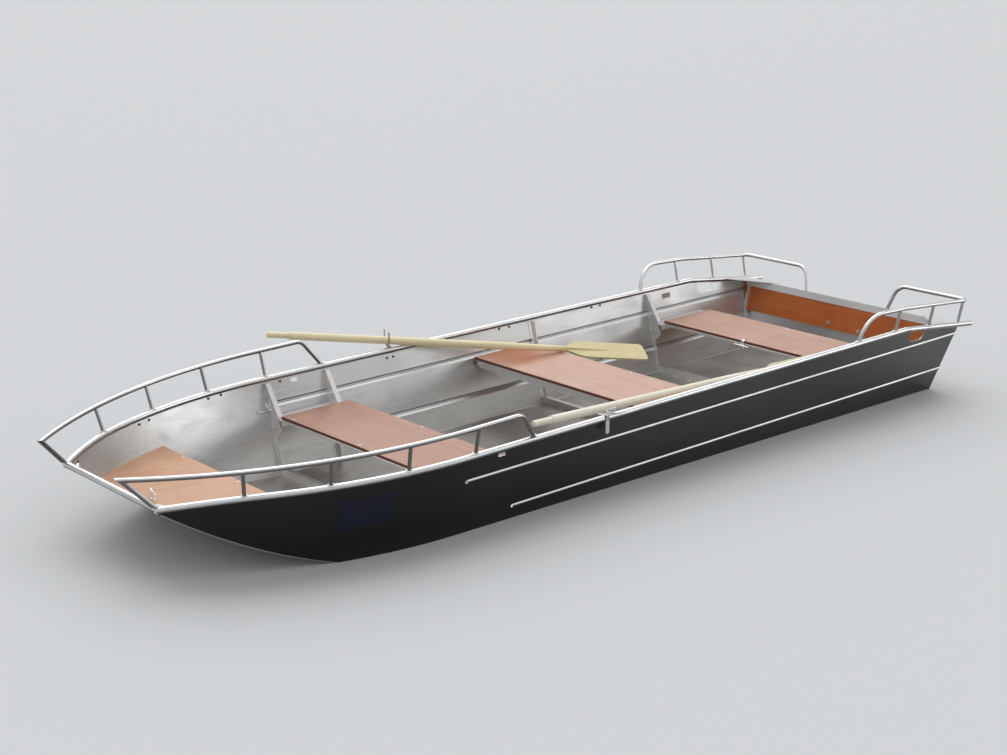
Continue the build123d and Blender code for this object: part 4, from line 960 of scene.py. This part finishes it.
low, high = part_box("rear_seat")
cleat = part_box("seat_cleat")
lug_y = (cleat[0].y + cleat[1].y) / 2
path = np.array([(high.x + ahead, lug_y, (low.z, high.z)[top] + up) for ahead, top, up in LUG_PATH])
lug = carried(path, np.tile([LUG_HALF, LUG_THICK], (5, 1)), (0, 1, 0), 16)
cleat_lug = joined("cleat_lug", [lug], cast_metal)
print("lips under", round(low.z, 4), "lug at", round(lug_y, 4))

# %% [markdown]
# Two thin panels are stuck on the sheet: a dark blue one outside on the port bow and a small grey
# one inside near the stern. Both are bare. Each is a grid over x and z that is laid on the wall's
# own surface, once just outside it and once just inside, so that it bends with the sheet.

# %% Bare panels
PANEL_X, PANEL_Z = (1.572, 1.828), (0.284, 0.422)
PLATE_X, PLATE_Z = (place(0.736), place(0.808)), (0.432, 0.460)


def panel(name, side, x_span, z_span, insets, material, columns=12, lines=5):
    """Thin panel on a side: two grids at two insets from the wall's outer face, joined by a rim."""
    x, z = np.meshgrid(np.linspace(*x_span, columns), np.linspace(*z_span, lines), indexing="ij")
    layers = [np.stack([x, side * wall_breadth(x, z, inset), z], axis=-1) for inset in insets]
    number = np.arange(columns * lines).reshape(columns, lines)
    corners = (number[:-1, :-1], number[:-1, 1:], number[1:, 1:], number[1:, :-1])
    top = np.stack(corners, axis=-1).reshape(-1, 4)
    rim = np.concatenate([number[0], number[1:, -1], number[-1, -2::-1], number[-2:0:-1, 0]])
    around = np.roll(rim, -1)
    walls = np.stack([rim, rim + number.size, around + number.size, around], axis=1)
    faces = np.concatenate([top, top[:, ::-1] + number.size, walls])
    if side < 0:
        faces = faces[:, ::-1]
    piece = new_object(name, np.stack(layers), faces.tolist(), material)
    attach(piece, "hull")


def film(name, dark, light, scale, detail, rough):
    """Thin painted film that has faded in small clouds."""
    material, tree, shader, where = new_material(name)
    fade = noise(tree, where, scale, detail, 0.6)
    faded = blend_colour(tree, span(tree, fade, 0.35, 0.65), dark, light)
    put(tree, shader.inputs["Base Color"], faded)
    put(tree, shader.inputs["Roughness"], span(tree, fade, *NOISE_WIDE, *rough))
    return material, shader


blue_film, shader = film("blue_film", (0.0025, 0.0035, 0.016), (0.005, 0.007, 0.028), 14, 5,
                         (0.42, 0.54))
shader.inputs["Specular IOR Level"].default_value = 0.25
grey_film, _ = film("grey_film", (0.20, 0.20, 0.20), (0.32, 0.32, 0.32), 120, 4, (0.35, 0.5))
panel("bow_panel", 1, PANEL_X, PANEL_Z, (-0.0005, 0.0002), blue_film, 20, 9)
panel("stern_plate", -1, PLATE_X, PLATE_Z, (SHEET - 0.0002, SHEET + 0.0006), grey_film)

# %% [markdown]
# Metal shows what is round it, so the light round the boat matters as much as the finish. The
# world is a soft sky: brightest overhead and dimmer towards the horizon, with one brighter
# clearing off the stern on the port side, which lies as a pale patch on the bow's inner wall. The
# sky's steps are a height, from 0 straight down to 1 straight up, and a level. A broad lamp, like
# the sun behind thin cloud, gives the shade a direction. Together they light a level surface at
# about one, so that colours render as they are written.

# %% Studio light
SKY_LEVEL = 0.64
SKY = ((0.0, 0.40), (0.50, 0.34), (0.56, 0.50), (0.68, 0.92), (1.0, 1.28))
CLEARING_WAY = (-0.810, 0.580, 0.090)
CLEARING_CORE, CLEARING_WIDE = radians(4), radians(18)
CLEARING = (4.6, 4.6, 4.6)
KEY_FROM, KEY_LEVEL, KEY_WIDE = (-3, -5, 8), 1.3, radians(70)
world = bpy.data.worlds.new("studio")
bpy.context.scene.world = world
world.use_nodes = True
tree = world.node_tree
tree.nodes.clear()
output = tree.nodes.new("ShaderNodeOutputWorld")
background = tree.nodes.new("ShaderNodeBackground")
way = tree.nodes.new("ShaderNodeTexCoord").outputs["Generated"]
ramp = tree.nodes.new("ShaderNodeValToRGB")
while len(ramp.color_ramp.elements) < len(SKY):
    ramp.color_ramp.elements.new(0.5)
for element, (height, level) in zip(ramp.color_ramp.elements, SKY):
    element.position = height
    element.color = (0.985 * level, level, 1.015 * level, 1)
tree.links.new(span(tree, parts_of(tree, way)["Z"], -1, 1), ramp.inputs["Fac"])
toward = tree.nodes.new("ShaderNodeVectorMath")
toward.operation = "DOT_PRODUCT"
tree.links.new(way, toward.inputs[0])
toward.inputs[1].default_value = CLEARING_WAY
clearing = span(tree, toward.outputs["Value"], cos(CLEARING_WIDE), cos(CLEARING_CORE), 0, 0.9)
sky = blend_colour(tree, clearing, ramp.outputs["Color"], CLEARING)
tree.links.new(sky, background.inputs["Color"])
background.inputs["Strength"].default_value = SKY_LEVEL
tree.links.new(background.outputs[0], output.inputs["Surface"])

key_data = bpy.data.lights.new("key", "SUN")
key_data.energy = KEY_LEVEL
key_data.angle = KEY_WIDE
key = bpy.data.objects.new("key", key_data)
key.location = KEY_FROM
key.rotation_euler = (-Vector(KEY_FROM)).to_track_quat("-Z", "Y").to_euler()
bpy.context.scene.collection.objects.link(key)
print("sky steps", len(SKY), "key lamp", KEY_LEVEL)

# %% [markdown]
# The camera stands off the port bow, three metres up and about nine metres away, with a long
# lens, so the far side's inner wall shows over the near side. Its axes are right, up and back.

# %% Camera
CAMERA_PLACE = (5.8603, 6.2753, 2.9898)
CAMERA_AHEAD = (-0.63666, -0.71696, -0.28397)
CAMERA_RIGHT = (-0.7466, 0.6652, -0.0056)
LENS_PIXELS = 1744.46
IMAGE_WIDTH = 1007
SENSOR = 36.0

ahead = Vector(CAMERA_AHEAD).normalized()
right = Vector(CAMERA_RIGHT)
right = (right - right.dot(ahead) * ahead).normalized()
up = right.cross(ahead)
camera_data = bpy.data.cameras.new("camera")
camera_data.sensor_width = SENSOR
camera_data.lens = SENSOR * LENS_PIXELS / IMAGE_WIDTH
camera = bpy.data.objects.new("camera", camera_data)
turn = Matrix((right, up, -ahead)).transposed()
camera.matrix_world = Matrix.Translation(CAMERA_PLACE) @ turn.to_4x4()
bpy.context.scene.collection.objects.link(camera)
bpy.context.scene.camera = camera
bpy.context.scene.view_settings.view_transform = "Standard"
print("lens in mm", round(camera_data.lens, 2))
